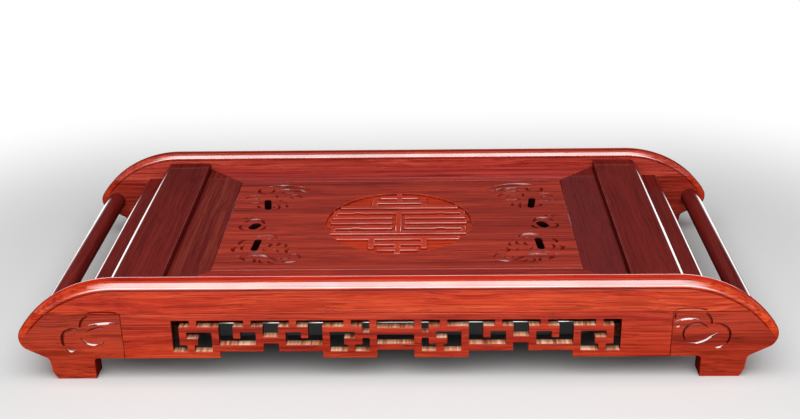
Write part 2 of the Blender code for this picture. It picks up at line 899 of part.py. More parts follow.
def screw(centre_x, centre_y, gap=0):
    """A countersunk screw driven up through a batten, or with a gap its hole."""
    head_z = batten_top - batten_thickness
    levels = [
        (screw_head_radius, head_z - (cut_overrun if gap else 0)),
        (screw_head_radius, head_z + gap),
        (screw_radius, head_z + screw_head_height + gap),
        (screw_radius, head_z + screw_length + gap),
    ]
    bm = bmesh.new()
    rings = []
    for radius, z in levels if gap else levels[1:]:
        corners = polygon((centre_x, centre_y), radius + gap, dowel_sides)
        rings.append([bm.verts.new((x, y, z)) for x, y in corners])
    close_loft(bm, rings)
    return bm


def add_battens(woods, parent):
    """Two battens across the underside of the deck, screwed to its near and far rails."""
    reach = deck_reach_y - batten_setback
    heights = (batten_top - batten_thickness, batten_top)
    rails = {side: bpy.data.objects[place_name(side=side) + "_deck_rail"] for side in (-1, 1)}
    for end in (-1, 1):
        word = place_name(end)
        middle = end * batten_place
        bm = block(middle - batten_width / 2, middle + batten_width / 2, -reach, reach, *heights)
        batten = add_object(word + "_batten", bm, woods["plain"], parent)
        for side in (-1, 1):
            place = (end * batten_place, side * (reach - screw_setback))
            hole = add_cutter(f"{place_name(end, side)}_screw_hole", screw(*place, glue_line))
            cut(batten, hole)
            cut(rails[side], hole)
            add_object(f"{place_name(end, side)}_batten_screw", screw(*place), woods["screw"], parent)


def add_deck(woods):
    """The deck lifts straight up, so its pieces hang on one empty on that line."""
    lift = bpy.data.objects.new("deck_lift_axis", None)
    bpy.context.scene.collection.objects.link(lift)
    add_deck_panel(woods["panel"], lift)
    add_deck_frame(woods, lift)
    add_battens(woods, lift)


def rounded_rectangle(reach_x, reach_y, radius):
    """Outline of a rectangle about the origin with round corners."""
    corners = [(x, y, radius) for x, y in rectangle(-reach_x, reach_x, -reach_y, reach_y)]
    return rounded_corners(corners)


def add_water_pan(steel):
    """Folded sheet pan with a flat flange, lofted from its outside round to its inside."""
    lift = bpy.data.objects.new("pan_lift_axis", None)
    bpy.context.scene.collection.objects.link(lift)
    flange = pan_corner + pan_flange_y
    levels = [
        (pan_body_x - pan_draft, pan_body_y - pan_draft, pan_corner, pan_underside),
        (pan_body_x, pan_body_y, pan_corner, pan_rim - pan_sheet),
        (pan_reach_x, pan_reach_y, flange, pan_rim - pan_sheet),
        (pan_reach_x, pan_reach_y, flange, pan_rim),
        (pan_body_x - pan_sheet, pan_body_y - pan_sheet, pan_corner - pan_sheet, pan_rim),
        (
            pan_body_x - pan_draft - pan_sheet,
            pan_body_y - pan_draft - pan_sheet,
            pan_corner - pan_sheet,
            pan_underside + pan_sheet,
        ),
    ]
    bm = bmesh.new()
    rings = []
    for reach_x, reach_y, radius, z in levels:
        outline = rounded_rectangle(reach_x, reach_y, radius)
        rings.append([bm.verts.new((x, y, z)) for x, y in outline])
    close_loft(bm, rings)
    add_object("water_pan", bm, steel, lift)


def make_woods():
    """Every finish of the tray, by the use it is put to."""
    return {
        "side": make_material("side_board_rosewood", (0.45, 0.07, 0.025), 0.2),
        "panel": make_material("panel_rosewood", (0.28, 0.045, 0.028), 0.2),
        "frame": make_material("deck_frame_rosewood", (0.17, 0.03, 0.024), 0.2),
        "dark": make_material("dark_rosewood", (0.12, 0.022, 0.02), 0.2),
        "plain": make_material("plain_rosewood", (0.35, 0.12, 0.05), 0.6),
        "dowel": make_material("beech_dowel", (0.55, 0.33, 0.16), 0.6),
        "screw": make_material("screw_steel", (0.55, 0.53, 0.48), 0.3, 1.0),
        "steel": make_material("stainless_steel", (0.62, 0.62, 0.6), 0.25, 1.0),
    }


def build_tray():
    """The whole tray: side boards, fretwork, ends, deck and pan."""
    clear_scene()
    woods = make_woods()
    add_side_boards(woods)
    for side in (-1, 1):
        add_fret_panel(place_name(side=side) + "_fret_panel", side, woods["side"])
    add_ends(woods)
    add_deck(woods)
    add_water_pan(woods["steel"])


build_tray()
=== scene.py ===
"""Looks of the wooden tea tray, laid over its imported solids.

Metres, +Z up, X along the tray. Flat shapes are drawn in millimetres on a plane of
their own, as a maker would draw them, and placed by a Plane.
"""

import logging
import math
from dataclasses import dataclass, replace
from enum import Enum
from typing import Optional, Sequence, Union

import bmesh
import bpy
import numpy as np
from mathutils import Matrix, Vector
from mathutils.geometry import delaunay_2d_cdt


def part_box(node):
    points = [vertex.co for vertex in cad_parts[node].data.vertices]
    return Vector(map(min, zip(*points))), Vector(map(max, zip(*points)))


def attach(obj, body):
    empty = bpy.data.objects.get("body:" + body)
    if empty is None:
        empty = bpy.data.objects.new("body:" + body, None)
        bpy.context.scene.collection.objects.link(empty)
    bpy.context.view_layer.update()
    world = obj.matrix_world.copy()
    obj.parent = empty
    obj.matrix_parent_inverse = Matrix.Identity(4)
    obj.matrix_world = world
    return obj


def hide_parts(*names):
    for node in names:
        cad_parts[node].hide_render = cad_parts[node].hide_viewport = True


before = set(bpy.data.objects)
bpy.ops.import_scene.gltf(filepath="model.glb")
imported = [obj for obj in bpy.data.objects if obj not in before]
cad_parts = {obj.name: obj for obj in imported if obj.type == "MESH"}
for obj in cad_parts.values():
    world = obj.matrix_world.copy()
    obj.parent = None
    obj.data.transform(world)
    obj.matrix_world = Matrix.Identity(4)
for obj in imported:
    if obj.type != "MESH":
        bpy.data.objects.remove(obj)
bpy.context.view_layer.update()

Array = np.ndarray
Colour = tuple[float, float, float]
Depth = Union[float, Array]
Number = Union[float, "Value"]
Paint = Union[Colour, "Value"]
Triple = tuple[float, float, float]
MM = 0.001
WELD = 1e-6
SHARP = math.radians(32)
# The line carved inside a rounding: place as a share of the inset, share of its depth
GROOVE = ((1.15, 0.0), (1.12, 0.75), (1.085, 1.0), (1.04, 0.8))
# Depth in millimetres at which the rounding starts beside that line
GROOVE_STEP = 0.35
# Sine of a turn below which the two edges beside it count as one line
STRAIGHT = 0.2
# Distance in millimetres within which two points of an outline are one
CLOSE = 1e-4
# How many points beside a corner may have slid past its seam
SLIDERS = 11
# Power of the sine that draws a pointed stroke, and how much faster than its width a
# stroke gets deep
TAPER = 0.8
PLUNGE = 1.3
log = logging.getLogger("tray")


class Sign(Enum):
    """Which way something lies from the tray's middle."""

    @property
    def word(self) -> str:
        """Its word in node names."""
        return self.name.lower()


class End(Sign):
    """An end of the tray, by the sign of its X."""

    LEFT = -1
    RIGHT = 1


class Side(Sign):
    """A long side of the tray, by the sign of its Y."""

    NEAR = -1
    FAR = 1


class Body(Enum):
    """What a piece moves with."""

    CARCASS = "carcass"
    DECK = "deck"
    PAN = "pan"


class Grain(Enum):
    """The way the grain of a board runs."""

    ALONG_X = "x"
    ALONG_Y = "y"
    ALONG_Z = "z"


class Tint(Enum):
    """Colours of a wood: its darkest streaks, most of it, and its palest streaks."""

    SIDE = (0.28, 0.014, 0.005), (0.45, 0.033, 0.010), (0.60, 0.075, 0.022)
    FAR_SIDE = (0.26, 0.02, 0.014), (0.40, 0.042, 0.028), (0.52, 0.075, 0.045)
    NEAR_CREST = (0.30, 0.009, 0.004), (0.47, 0.020, 0.007), (0.58, 0.038, 0.012)
    # The far rail's top: the same wood as the near one's, darker as painted shade
    FAR_CREST = (0.15, 0.010, 0.004), (0.26, 0.020, 0.008), (0.36, 0.034, 0.012)
    NEAR_LEFT_BLOCK = (0.19, 0.012, 0.005), (0.32, 0.027, 0.010), (0.43, 0.045, 0.016)
    NEAR_RIGHT_BLOCK = (0.16, 0.010, 0.004), (0.28, 0.021, 0.0075), (0.37, 0.035, 0.013)
    FAR_LEFT_BLOCK = (0.17, 0.011, 0.006), (0.29, 0.024, 0.013), (0.39, 0.038, 0.020)
    FAR_RIGHT_BLOCK = FAR_LEFT_BLOCK
    FAR_EDGE = (0.20, 0.011, 0.005), (0.34, 0.024, 0.009), (0.46, 0.046, 0.015)
    FRET = (0.21, 0.010, 0.004), (0.35, 0.023, 0.008), (0.49, 0.052, 0.017)
    # Sawn raw wood, made paler as painted light for the sawn faces that look up
    SAWN = (0.36, 0.08, 0.035), (0.66, 0.26, 0.13), (0.95, 0.60, 0.40)
    DARK = (0.08, 0.006, 0.005), (0.122, 0.010, 0.008), (0.162, 0.015, 0.011)
    LEFT_STILE = (0.08, 0.006, 0.005), (0.122, 0.010, 0.008), (0.19, 0.028, 0.016)
    RIGHT_STILE = (0.08, 0.006, 0.005), (0.105, 0.012, 0.012), (0.162, 0.015, 0.011)
    NEAR_FRAME = (0.13, 0.008, 0.006), (0.25, 0.018, 0.012), (0.36, 0.032, 0.016)
    FAR_FRAME = (0.13, 0.008, 0.006), (0.30, 0.028, 0.024), (0.44, 0.05, 0.034)
    PANEL = (0.12, 0.010, 0.007), (0.25, 0.022, 0.014), (0.42, 0.045, 0.021)
    CARVED = (0.20, 0.013, 0.006), (0.38, 0.030, 0.011), (0.54, 0.055, 0.017)
    CUT = (0.11, 0.007, 0.004), (0.24, 0.015, 0.007), (0.40, 0.034, 0.012)
    # Near-black walls of the drain holes: painted shade
    DRAIN = (0.02, 0.004, 0.003), (0.035, 0.006, 0.005), (0.05, 0.009, 0.007)
    STROKE = (0.21, 0.014, 0.007), (0.41, 0.032, 0.014), (0.42, 0.045, 0.021)
    # Plain inner wood, a dark reddish brown, partly painted shade for the inside of the tray
    PLAIN = (0.045, 0.013, 0.009), (0.085, 0.024, 0.013), (0.13, 0.04, 0.02)
    BEECH = (0.42, 0.24, 0.11), (0.56, 0.34, 0.17), (0.66, 0.43, 0.24)


def box_mm(node: str) -> tuple[Array, Array]:
    """Low and high corner of a CAD node's box, in millimetres."""
    low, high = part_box(node)
    return np.array(low) / MM, np.array(high) / MM


# ---------------------------------------------------------------- flat outlines


def unit(vectors: Array) -> Array:
    """Vectors divided by their lengths.

    Args:
        vectors: one vector in each row.

    Returns:
        The same directions with length one.
    """
    lengths = np.linalg.norm(vectors, axis=-1, keepdims=True)
    return vectors / np.maximum(lengths, 1e-12)


def left_of(vectors: Array) -> Array:
    """Vectors turned by a quarter to the left."""
    return np.stack((-vectors[..., 1], vectors[..., 0]), axis=-1)


def read_between(places: Array, known: Array, points: Array) -> Array:
    """Points at given places along a line, between those at known places."""
    return np.column_stack([np.interp(places, known, points[:, axis]) for axis in range(2)])


def distinct(loop: Array) -> Array:
    """A loop without points that repeat the one before.

    Args:
        loop: points of a closed outline.

    Returns:
        The loop with such points left out.
    """
    steps = np.linalg.norm(loop - np.roll(loop, 1, axis=0), axis=1)
    return loop[steps > CLOSE]


def arc(centre: Sequence[float], radius: float, start: float, end: float, steps: int) -> Array:
    """Points centre + radius * (cos a, sin a), with a running evenly from start to end.

    Args:
        centre: middle of the arc.
        radius: its radius.
        start: first angle.
        end: last angle.
        steps: number of chords.

    Returns:
        The points, both ends included.
    """
    angles = np.linspace(start, end, steps + 1)
    return np.asarray(centre) + radius * np.column_stack((np.cos(angles), np.sin(angles)))


def turned(corners: Array, steps: int) -> Array:
    """An outline whose corners are turned by arcs.

    Each arc touches both edges of its corner. Its points lie between the two radii to
    those places, by the weights sin((1 - t) a) / sin a and sin(t a) / sin a.

    Args:
        corners: rows of x, y and the radius of the arc.
        steps: number of chords in an arc.

    Returns:
        The points of the outline.
    """
    at, radius = corners[:, None, :2], corners[:, None, 2:]
    before = unit(np.roll(at, 1, axis=0) - at)
    after = unit(np.roll(at, -1, axis=0) - at)
    half = np.arccos(np.clip(np.sum(before * after, axis=2, keepdims=True), -1, 1)) / 2
    centre = at + unit(before + after) * radius / np.sin(half)
    first = at + before * radius / np.tan(half) - centre
    last = at + after * radius / np.tan(half) - centre
    sweep = math.pi - 2 * half
    share = np.linspace(0, 1, steps + 1)[None, :, None]
    points = np.sin((1 - share) * sweep) * first + np.sin(share * sweep) * last
    return distinct((centre + points / np.sin(sweep)).reshape(-1, 2))


def rectangle(x_low: float, x_high: float, y_low: float, y_high: float) -> Array:
    """The four corners of a rectangle, anticlockwise."""
    return np.array([(x_low, y_low), (x_high, y_low), (x_high, y_high), (x_low, y_high)])


def rounded_rectangle(reach_x: float, reach_y: float, radius: float, steps: int) -> Array:
    """Outline of a rectangle about the middle whose corners are turned by arcs."""
    corners = rectangle(-reach_x, reach_x, -reach_y, reach_y)
    return turned(np.column_stack((corners, np.full(4, radius))), steps)


def mirrored(box: Sequence[float], x: int, y: int = 1, shift: float = 0.0) -> tuple[float, ...]:
    """A box moved along X and then turned over.

    Args:
        box: x low, x high, y low and y high.
        x: -1 to turn it over about X = 0.
        y: -1 to turn it over about Y = 0.
        shift: how far it is moved before that.

    Returns:
        The box in the same form.
    """
    west, east, south, north = box
    across = sorted((x * (west + shift), x * (east + shift)))
    return (*across, *sorted((y * south, y * north)))


def box_loops(solids: Array, voids: Array) -> list[Array]:
    """Boundary loops of rectangles less others.

    The plane is cut into cells between all edges. Each cell side between wood and
    nothing is a step of a loop that keeps the wood on its left, and steps in one line
    become one.

    Args:
        solids: rows of x low, x high, y low, y high that hold wood.
        voids: rows of the same kind that hold none.

    Returns:
        The loops, outer ones anticlockwise and openings clockwise.
    """
    every = np.vstack((solids, voids))
    xs, ys = (np.unique(np.round(every[:, pair], 4)) for pair in ([0, 1], [2, 3]))
    x = (xs[1:] + xs[:-1])[:, None, None] / 2
    y = (ys[1:] + ys[:-1])[None, :, None] / 2

    def covers(boxes: Array) -> Array:
        """Cells whose middles lie in any of the boxes."""
        inside = (boxes[:, 0] < x) & (x < boxes[:, 1])
        return (inside & (boxes[:, 2] < y) & (y < boxes[:, 3])).any(2)

    wood = np.pad(covers(solids) & ~covers(voids), 1)
    ahead: dict[tuple[int, int], list[tuple[int, int]]] = {}
    for (di, dj), (a, b) in {
        (0, -1): ((0, 0), (1, 0)),
        (1, 0): ((1, 0), (1, 1)),
        (0, 1): ((1, 1), (0, 1)),
        (-1, 0): ((0, 1), (0, 0)),
    }.items():
        beside = np.roll(wood, (-di, -dj), axis=(0, 1))
        for i, j in np.argwhere(wood & ~beside) - 1:
            ahead.setdefault((i + a[0], j + a[1]), []).append((i + b[0], j + b[1]))
    loops = []
    while ahead:
        start = next(iter(ahead))
        place, walk = start, []
        while place in ahead:
            walk.append(place)
            after = ahead[place].pop()
            if not ahead[place]:
                del ahead[place]
            place = after
        path = np.array([(xs[i], ys[j]) for i, j in walk])
        bend = np.cross(path - np.roll(path, 1, axis=0), np.roll(path, -1, axis=0) - path)
        loops.append(path[np.abs(bend) > 1e-6])
    return loops


def fill(loops: Sequence[Array]) -> tuple[Array, list[tuple[int, ...]]]:
    """Triangles between an outline and the openings in it.

    Args:
        loops: closed outlines, the outer one first.

    Returns:
        The points and the triangles on them.
    """
    points = np.vstack(loops)
    ends = np.cumsum([len(loop) for loop in loops])
    rings = [list(range(end - len(loop), end)) for loop, end in zip(loops, ends)]
    made = delaunay_2d_cdt([Vector(p) for p in points], [], rings, 2, 1e-5)
    crossings = sum(not sources for sources in made[3])
    if crossings:
        log.warning("%d edges of an outline cross", crossings)
    places = [points[k[0]] if k else np.array(place) for place, k in zip(made[0], made[3])]
    return np.array(places), [tuple(face) for face in made[2]]


def smooth_path(knots: Array, samples: int) -> Array:
    """A curve through given points, with evenly spread samples.

    Between knots b and c, with neighbours a and d, the point at share t is
    (2b + (c - a)t + (2a - 5b + 4c - d)t^2 + (3b - a - 3c + d)t^3) / 2.

    Args:
        knots: points that the curve passes.
        samples: number of points to return.

    Returns:
        Points along the curve at even distances.
    """
    padded = np.vstack((2 * knots[:1] - knots[1:2], knots, 2 * knots[-1:] - knots[-2:-1]))
    where = np.linspace(0, len(knots) - 1, samples * 6)
    span = np.minimum(where.astype(int), len(knots) - 2)
    t = (where - span)[:, None]
    a, b, c, d = (padded[span + shift] for shift in range(4))
    curve = 2 * b + (c - a) * t + (2 * a - 5 * b + 4 * c - d) * t**2
    curve = (curve + (3 * b - a - 3 * c + d) * t**3) / 2
    run = np.append(0, np.cumsum(np.linalg.norm(np.diff(curve, axis=0), axis=1)))
    return read_between(np.linspace(0, run[-1], samples), run, curve)


# ---------------------------------------------------------------- surfaces


@dataclass(frozen=True)
class Plane:
    """Where a flat drawing in millimetres lies in the tray.

    Attributes:
        upright: True for a drawing in X and Z, False for one in X and Y.
        face: height or place of the drawing's own plane, in metres.
        inward: sign of the direction in which depth goes.
    """

    upright: bool
    face: float
    inward: float

    def place(self, flat: Array, depth: Depth) -> Array:
        """Points in the tray.

        Args:
            flat: points of the drawing.
            depth: how far below the plane they lie, in millimetres.

        Returns:
            The points in metres.
        """
        third = self.face + self.inward * MM * np.broadcast_to(depth, flat.shape[:-1])
        first, second = flat[..., 0] * MM, flat[..., 1] * MM
        parts = (first, third, second) if self.upright else (first, second, third)
        return np.stack(parts, axis=-1)


@dataclass
class Rim:
    """An edge of a plate: the outline, and how each part of it is rounded.

    Attributes:
        loop: points of the outline, the wood on the left, in millimetres.
        radii: rounding at each point.
        seams: for each edge, whether another piece is glued to it; none by default.
        seam_round: rounding along the seams.
        groove: depth of the line carved inside the rounding, at each point.
        steps: number of facets in the rounding.
    """

    loop: Array
    radii: Array
    seams: Optional[Array] = None
    seam_round: float = 0.25
    groove: Optional[Array] = None
    steps: int = 8

    def __post_init__(self) -> None:
        """Fill in the seams where none are given."""
        if self.seams is None:
            self.seams = np.zeros(len(self.loop), bool)

    def insets(self) -> Array:
        """How far the flat face starts inside each point of the outline.

        The vector v of a point solves n1.v = d1 and n2.v = d2, where n1 and n2 are the
        inward normals of its two edges and d1 and d2 their roundings.

        Returns:
            One vector for each point.
        """
        along = unit(np.roll(self.loop, -1, axis=0) - self.loop)
        after = left_of(along)
        before = np.roll(after, 1, axis=0)
        deep_after = np.where(self.seams, self.seam_round, self.radii)
        deep_before = np.where(np.roll(self.seams, 1), self.seam_round, self.radii)
        cross = before[:, 0] * after[:, 1] - before[:, 1] * after[:, 0]
        straight = np.abs(cross) < STRAIGHT
        safe = np.where(straight, 1, cross)
        x = (deep_before * after[:, 1] - deep_after * before[:, 1]) / safe
        y = (deep_after * before[:, 0] - deep_before * after[:, 0]) / safe
        bend = np.maximum(1 + np.sum(before * after, axis=1), 0.1)
        even = (before + after) * (np.minimum(deep_before, deep_after) / bend)[:, None]
        return np.where(straight[:, None], even, np.column_stack((x, y)))

    def rows(self) -> tuple[Array, Array]:
        """Rings of points from the flat face out to the outline.

        Ring a of the quarter circle lies 1 - sin a of the inset inside the outline and
        1 - cos a of the radius below the face. A carved line lies inside the first.

        Returns:
            Flat places and depths, ring by ring.
        """
        depths = np.where(self.seams & np.roll(self.seams, 1), self.seam_round, self.radii)
        turns = np.linspace(0, math.pi / 2, self.steps + 1)
        shares, sinks = 1 - np.sin(turns), 1 - np.cos(turns)
        inset = self.insets()
        flats = self.loop + inset * shares[:, None, None]
        deeps = depths * sinks[:, None]
        if self.groove is not None:
            open_out = self.groove[:, None] / max(self.groove.max(), WELD)
            line = [self.loop + inset * (1 + (share - 1) * open_out) for share, _ in GROOVE]
            sunk = [self.groove * share for _, share in GROOVE]
            keep = np.where(self.groove > 0, GROOVE_STEP, 0) * (1 - sinks[1:, None])
            flats = np.concatenate((line, flats[1:]))
            deeps = np.concatenate((sunk, np.maximum(deeps[1:], keep)))
        return self.settled(flats), deeps

    def darkness(self, deeps: Array) -> Array:
        """Painted shade of the rings, in the carved line.

        Args:
            deeps: their depths.

        Returns:
            0 for plain wood to 1 of painted shade at the bottom of the carved line.
        """
        cut = np.zeros(deeps.shape)
        if self.groove is not None:
            line = len(deeps) - self.steps
            cut[1:line] = deeps[1:line] / max(self.groove.max(), WELD)
        return cut

    def settled(self, flats: Array) -> Array:
        """Gather the points that slid past a seam at the corner beside it.

        Args:
            flats: rings of points.

        Returns:
            The rings, with no point on the far side of a seam.
        """
        count, seams = len(self.loop), self.seams
        for corner in np.flatnonzero(seams != np.roll(seams, 1)):
            way = -1 if seams[corner] else 1
            seam = (corner + (0 if seams[corner] else -1)) % count
            inward = left_of(self.loop[(seam + 1) % count] - self.loop[seam])
            for step in range(1, SLIDERS + 1):
                beside = (corner + way * step) % count
                past = (flats[:, beside] - flats[:, corner]) @ inward < WELD
                flats[past, beside] = flats[past, corner]
        return flats


@dataclass(frozen=True)
class Stroke:
    """One cut of a carver's gouge.

    Attributes:
        path: points that its middle passes, in millimetres.
        width: greatest width.
        depth: greatest depth.
        point: 0 for round ends, 1 for ends drawn out to a point.
        lean: how far the deepest line lies to the left (+) or right (-), below 1.
        gentle: painted shade on the side between the deepest line and the further edge,
        where 1 is that on the other side; a side without it keeps its lacquer.
        gloss: whether it has the plate's glossy finish for cuts.
        spacing: distance between samples along the path.
        across: number of samples across it, and the fewest along it.
    """

    path: tuple[tuple[float, float], ...]
    width: float
    depth: float
    point: float = 0.5
    lean: float = 0.0
    gentle: float = 1.0
    gloss: bool = False
    spacing: float = 0.7
    across: int = 9

    def grid(self) -> tuple[Array, Array, Array]:
        """The cut's surface.

        At share s of the path and place t across it, from -1 to 1, the point lies
        h(s) t beside the middle line and d(s) (1 - u^2) deep, where u runs from -1 over
        0 at the deepest line to 1. The half width h is a half circle's for round ends,
        and runs to sin(pi s)^TAPER as the ends get pointed. The depth d follows h, times
        PLUNGE, up to the full depth.

        Returns:
            Flat places, depths and painted shade of the grid, along by across.
        """
        knots = np.array(self.path, float)
        length = np.linalg.norm(np.diff(knots, axis=0), axis=1).sum()
        samples = max(self.across, int(length / self.spacing))
        middle = smooth_path(knots, samples)
        left = left_of(unit(np.gradient(middle, axis=0)))
        s = (1 - np.cos(np.linspace(0, math.pi, samples))) / 2
        run = np.linspace(0, 1, samples)
        middle, left = (read_between(s, run, part) for part in (middle, left))
        ends = np.clip(np.minimum(s, 1 - s) * length / (self.width / 2), 0, 1)
        blunt = np.sqrt(np.maximum(1 - (1 - ends) ** 2, 0))
        sharp = np.sin(math.pi * s) ** TAPER
        wide = blunt * (1 - self.point) + sharp * self.point
        t = np.sin(np.linspace(-math.pi / 2, math.pi / 2, self.across))
        flats = middle[:, None] + left[:, None] * (wide[:, None] * t * self.width / 2)[:, :, None]
        u = (t - self.lean) / (1 - np.sign(t - self.lean) * self.lean)
        profile = np.minimum(wide * PLUNGE, 1)[:, None] * np.clip(1 - u**2, 0, 1)
        # Painted shade: darkest where the cut is deepest, and on the gentle side as gentle says
        dark = np.where((t - self.lean) * self.lean > 0, 1.0, self.gentle)
        return flats, self.depth * profile, profile * dark

    def loop(self) -> Array:
        """The outline that the cut leaves in the face."""
        flats = self.grid()[0]
        return distinct(np.vstack((flats[:, 0], flats[::-1, -1])))


@dataclass
class Pocket:
    """A recess with a flat floor.

    Attributes:
        rim: its edge, the wood on the left.
        depth: how deep the floor lies, in millimetres.
    """

    rim: Rim
    depth: float


def shown(name: str, data: bpy.types.ID) -> bpy.types.Object:
    """A new object in the scene.

    Args:
        name: its name.
        data: the mesh, lamp or camera that it shows.

    Returns:
        The object, linked to the scene.
    """
    item = bpy.data.objects.new(name, data)
    bpy.context.scene.collection.objects.link(item)
    return item


class Shell:
    """Patches of one closed surface, welded into a mesh at the end."""

    def __init__(self) -> None:
        """Start with no patches."""
        self.points: list[Array] = []
        self.faces: list[tuple[int, ...]] = []
        self.slots: list[int] = []
        self.smooth: list[bool] = []
        self.cuts: list[Array] = []
        self.count = 0

    def patch(self, points: Array, faces: Sequence, slot: int, smooth: bool, cut: Depth) -> None:
        """Add points and the faces on them.

        Args:
            points: places in metres.
            faces: indices into the points.
            slot: material slot of the faces.
            smooth: whether they are shaded as a curve.
            cut: painted shade, 0 at the surface to 1 at the bottom of a cut, for each point.
        """
        self.points.append(points.reshape(-1, 3))
        self.cuts.append(np.broadcast_to(cut, points.shape[:-1]).ravel())
        self.faces += [tuple(int(index) + self.count for index in face) for face in faces]
        self.slots += [slot] * len(faces)
        self.smooth += [smooth] * len(faces)
        self.count += len(self.points[-1])

    def rows(self, rings: Array, slot: int = 0, closed: bool = True, cut: Depth = 0.0) -> None:
        """Join rings of points, each to the next, with four-sided faces.

        Args:
            rings: points by ring and place round it.
            slot: material slot of the faces.
            closed: whether the last place joins the first.
            cut: as for a patch.
        """
        count, around = rings.shape[:2]
        index = np.arange(count * around).reshape(count, around)
        if closed:
            index = np.column_stack((index, index[:, :1]))
        corners = (index[:-1, :-1], index[:-1, 1:], index[1:, 1:], index[1:, :-1])
        self.patch(rings, np.stack(corners, axis=-1).reshape(-1, 4), slot, True, cut)

    def flat(self, plane: Plane, loops: Sequence[Array], depth: float, slot: int = 0) -> None:
        """Add the flat face between an outline and the openings in it.

        Args:
            plane: where the drawing lies.
            loops: the outline and its openings.
            depth: how deep the face lies.
            slot: material slot of the face.
        """
        points, faces = fill(loops)
        self.patch(plane.place(points, depth), faces, slot, False, 0.0)

    def piece(self, name: str, finishes: Sequence, body: Body, nodes: Sequence[str]) -> None:
        """Weld the patches into one object that stands for CAD nodes.

        Args:
            name: name of the object.
            finishes: what its material slots show.
            body: what it moves with.
            nodes: CAD nodes that it takes the place of.
        """
        mesh = bpy.data.meshes.new(name)
        mesh.from_pydata(np.vstack(self.points), [], self.faces)
        mesh.polygons.foreach_set("material_index", self.slots)
        mesh.polygons.foreach_set("use_smooth", self.smooth)
        # The painted shade of the cuts, as a point attribute that the wood's material reads
        cuts = mesh.attributes.new("cut", "FLOAT", "POINT")
        cuts.data.foreach_set("value", np.concatenate(self.cuts))
        work = bmesh.new()
        work.from_mesh(mesh)
        bmesh.ops.remove_doubles(work, verts=work.verts, dist=WELD)
        bmesh.ops.dissolve_degenerate(work, dist=WELD, edges=work.edges)
        bmesh.ops.recalc_face_normals(work, faces=work.faces)
        open_edges = sum(not edge.is_manifold for edge in work.edges)
        work.to_mesh(mesh)
        work.free()
        curved = np.zeros(len(mesh.polygons), bool)
        mesh.polygons.foreach_get("use_smooth", curved)
        mesh.set_sharp_from_angle(angle=SHARP)
        mesh.polygons.foreach_set("use_smooth", curved)
        for finish in finishes:
            mesh.materials.append(finish.material())
        item = shown(name, mesh)
        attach(item, body.value)
        if nodes:
            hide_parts(*nodes)
        log.info("%s: %d faces, %d open edges", name, len(mesh.polygons), open_edges)

    def dress(self, node: str, body: Body, *finishes: "Finish") -> None:
        """Weld the patches into the one piece that shows a CAD node."""
        self.piece(node + "_look", finishes, body, [node])


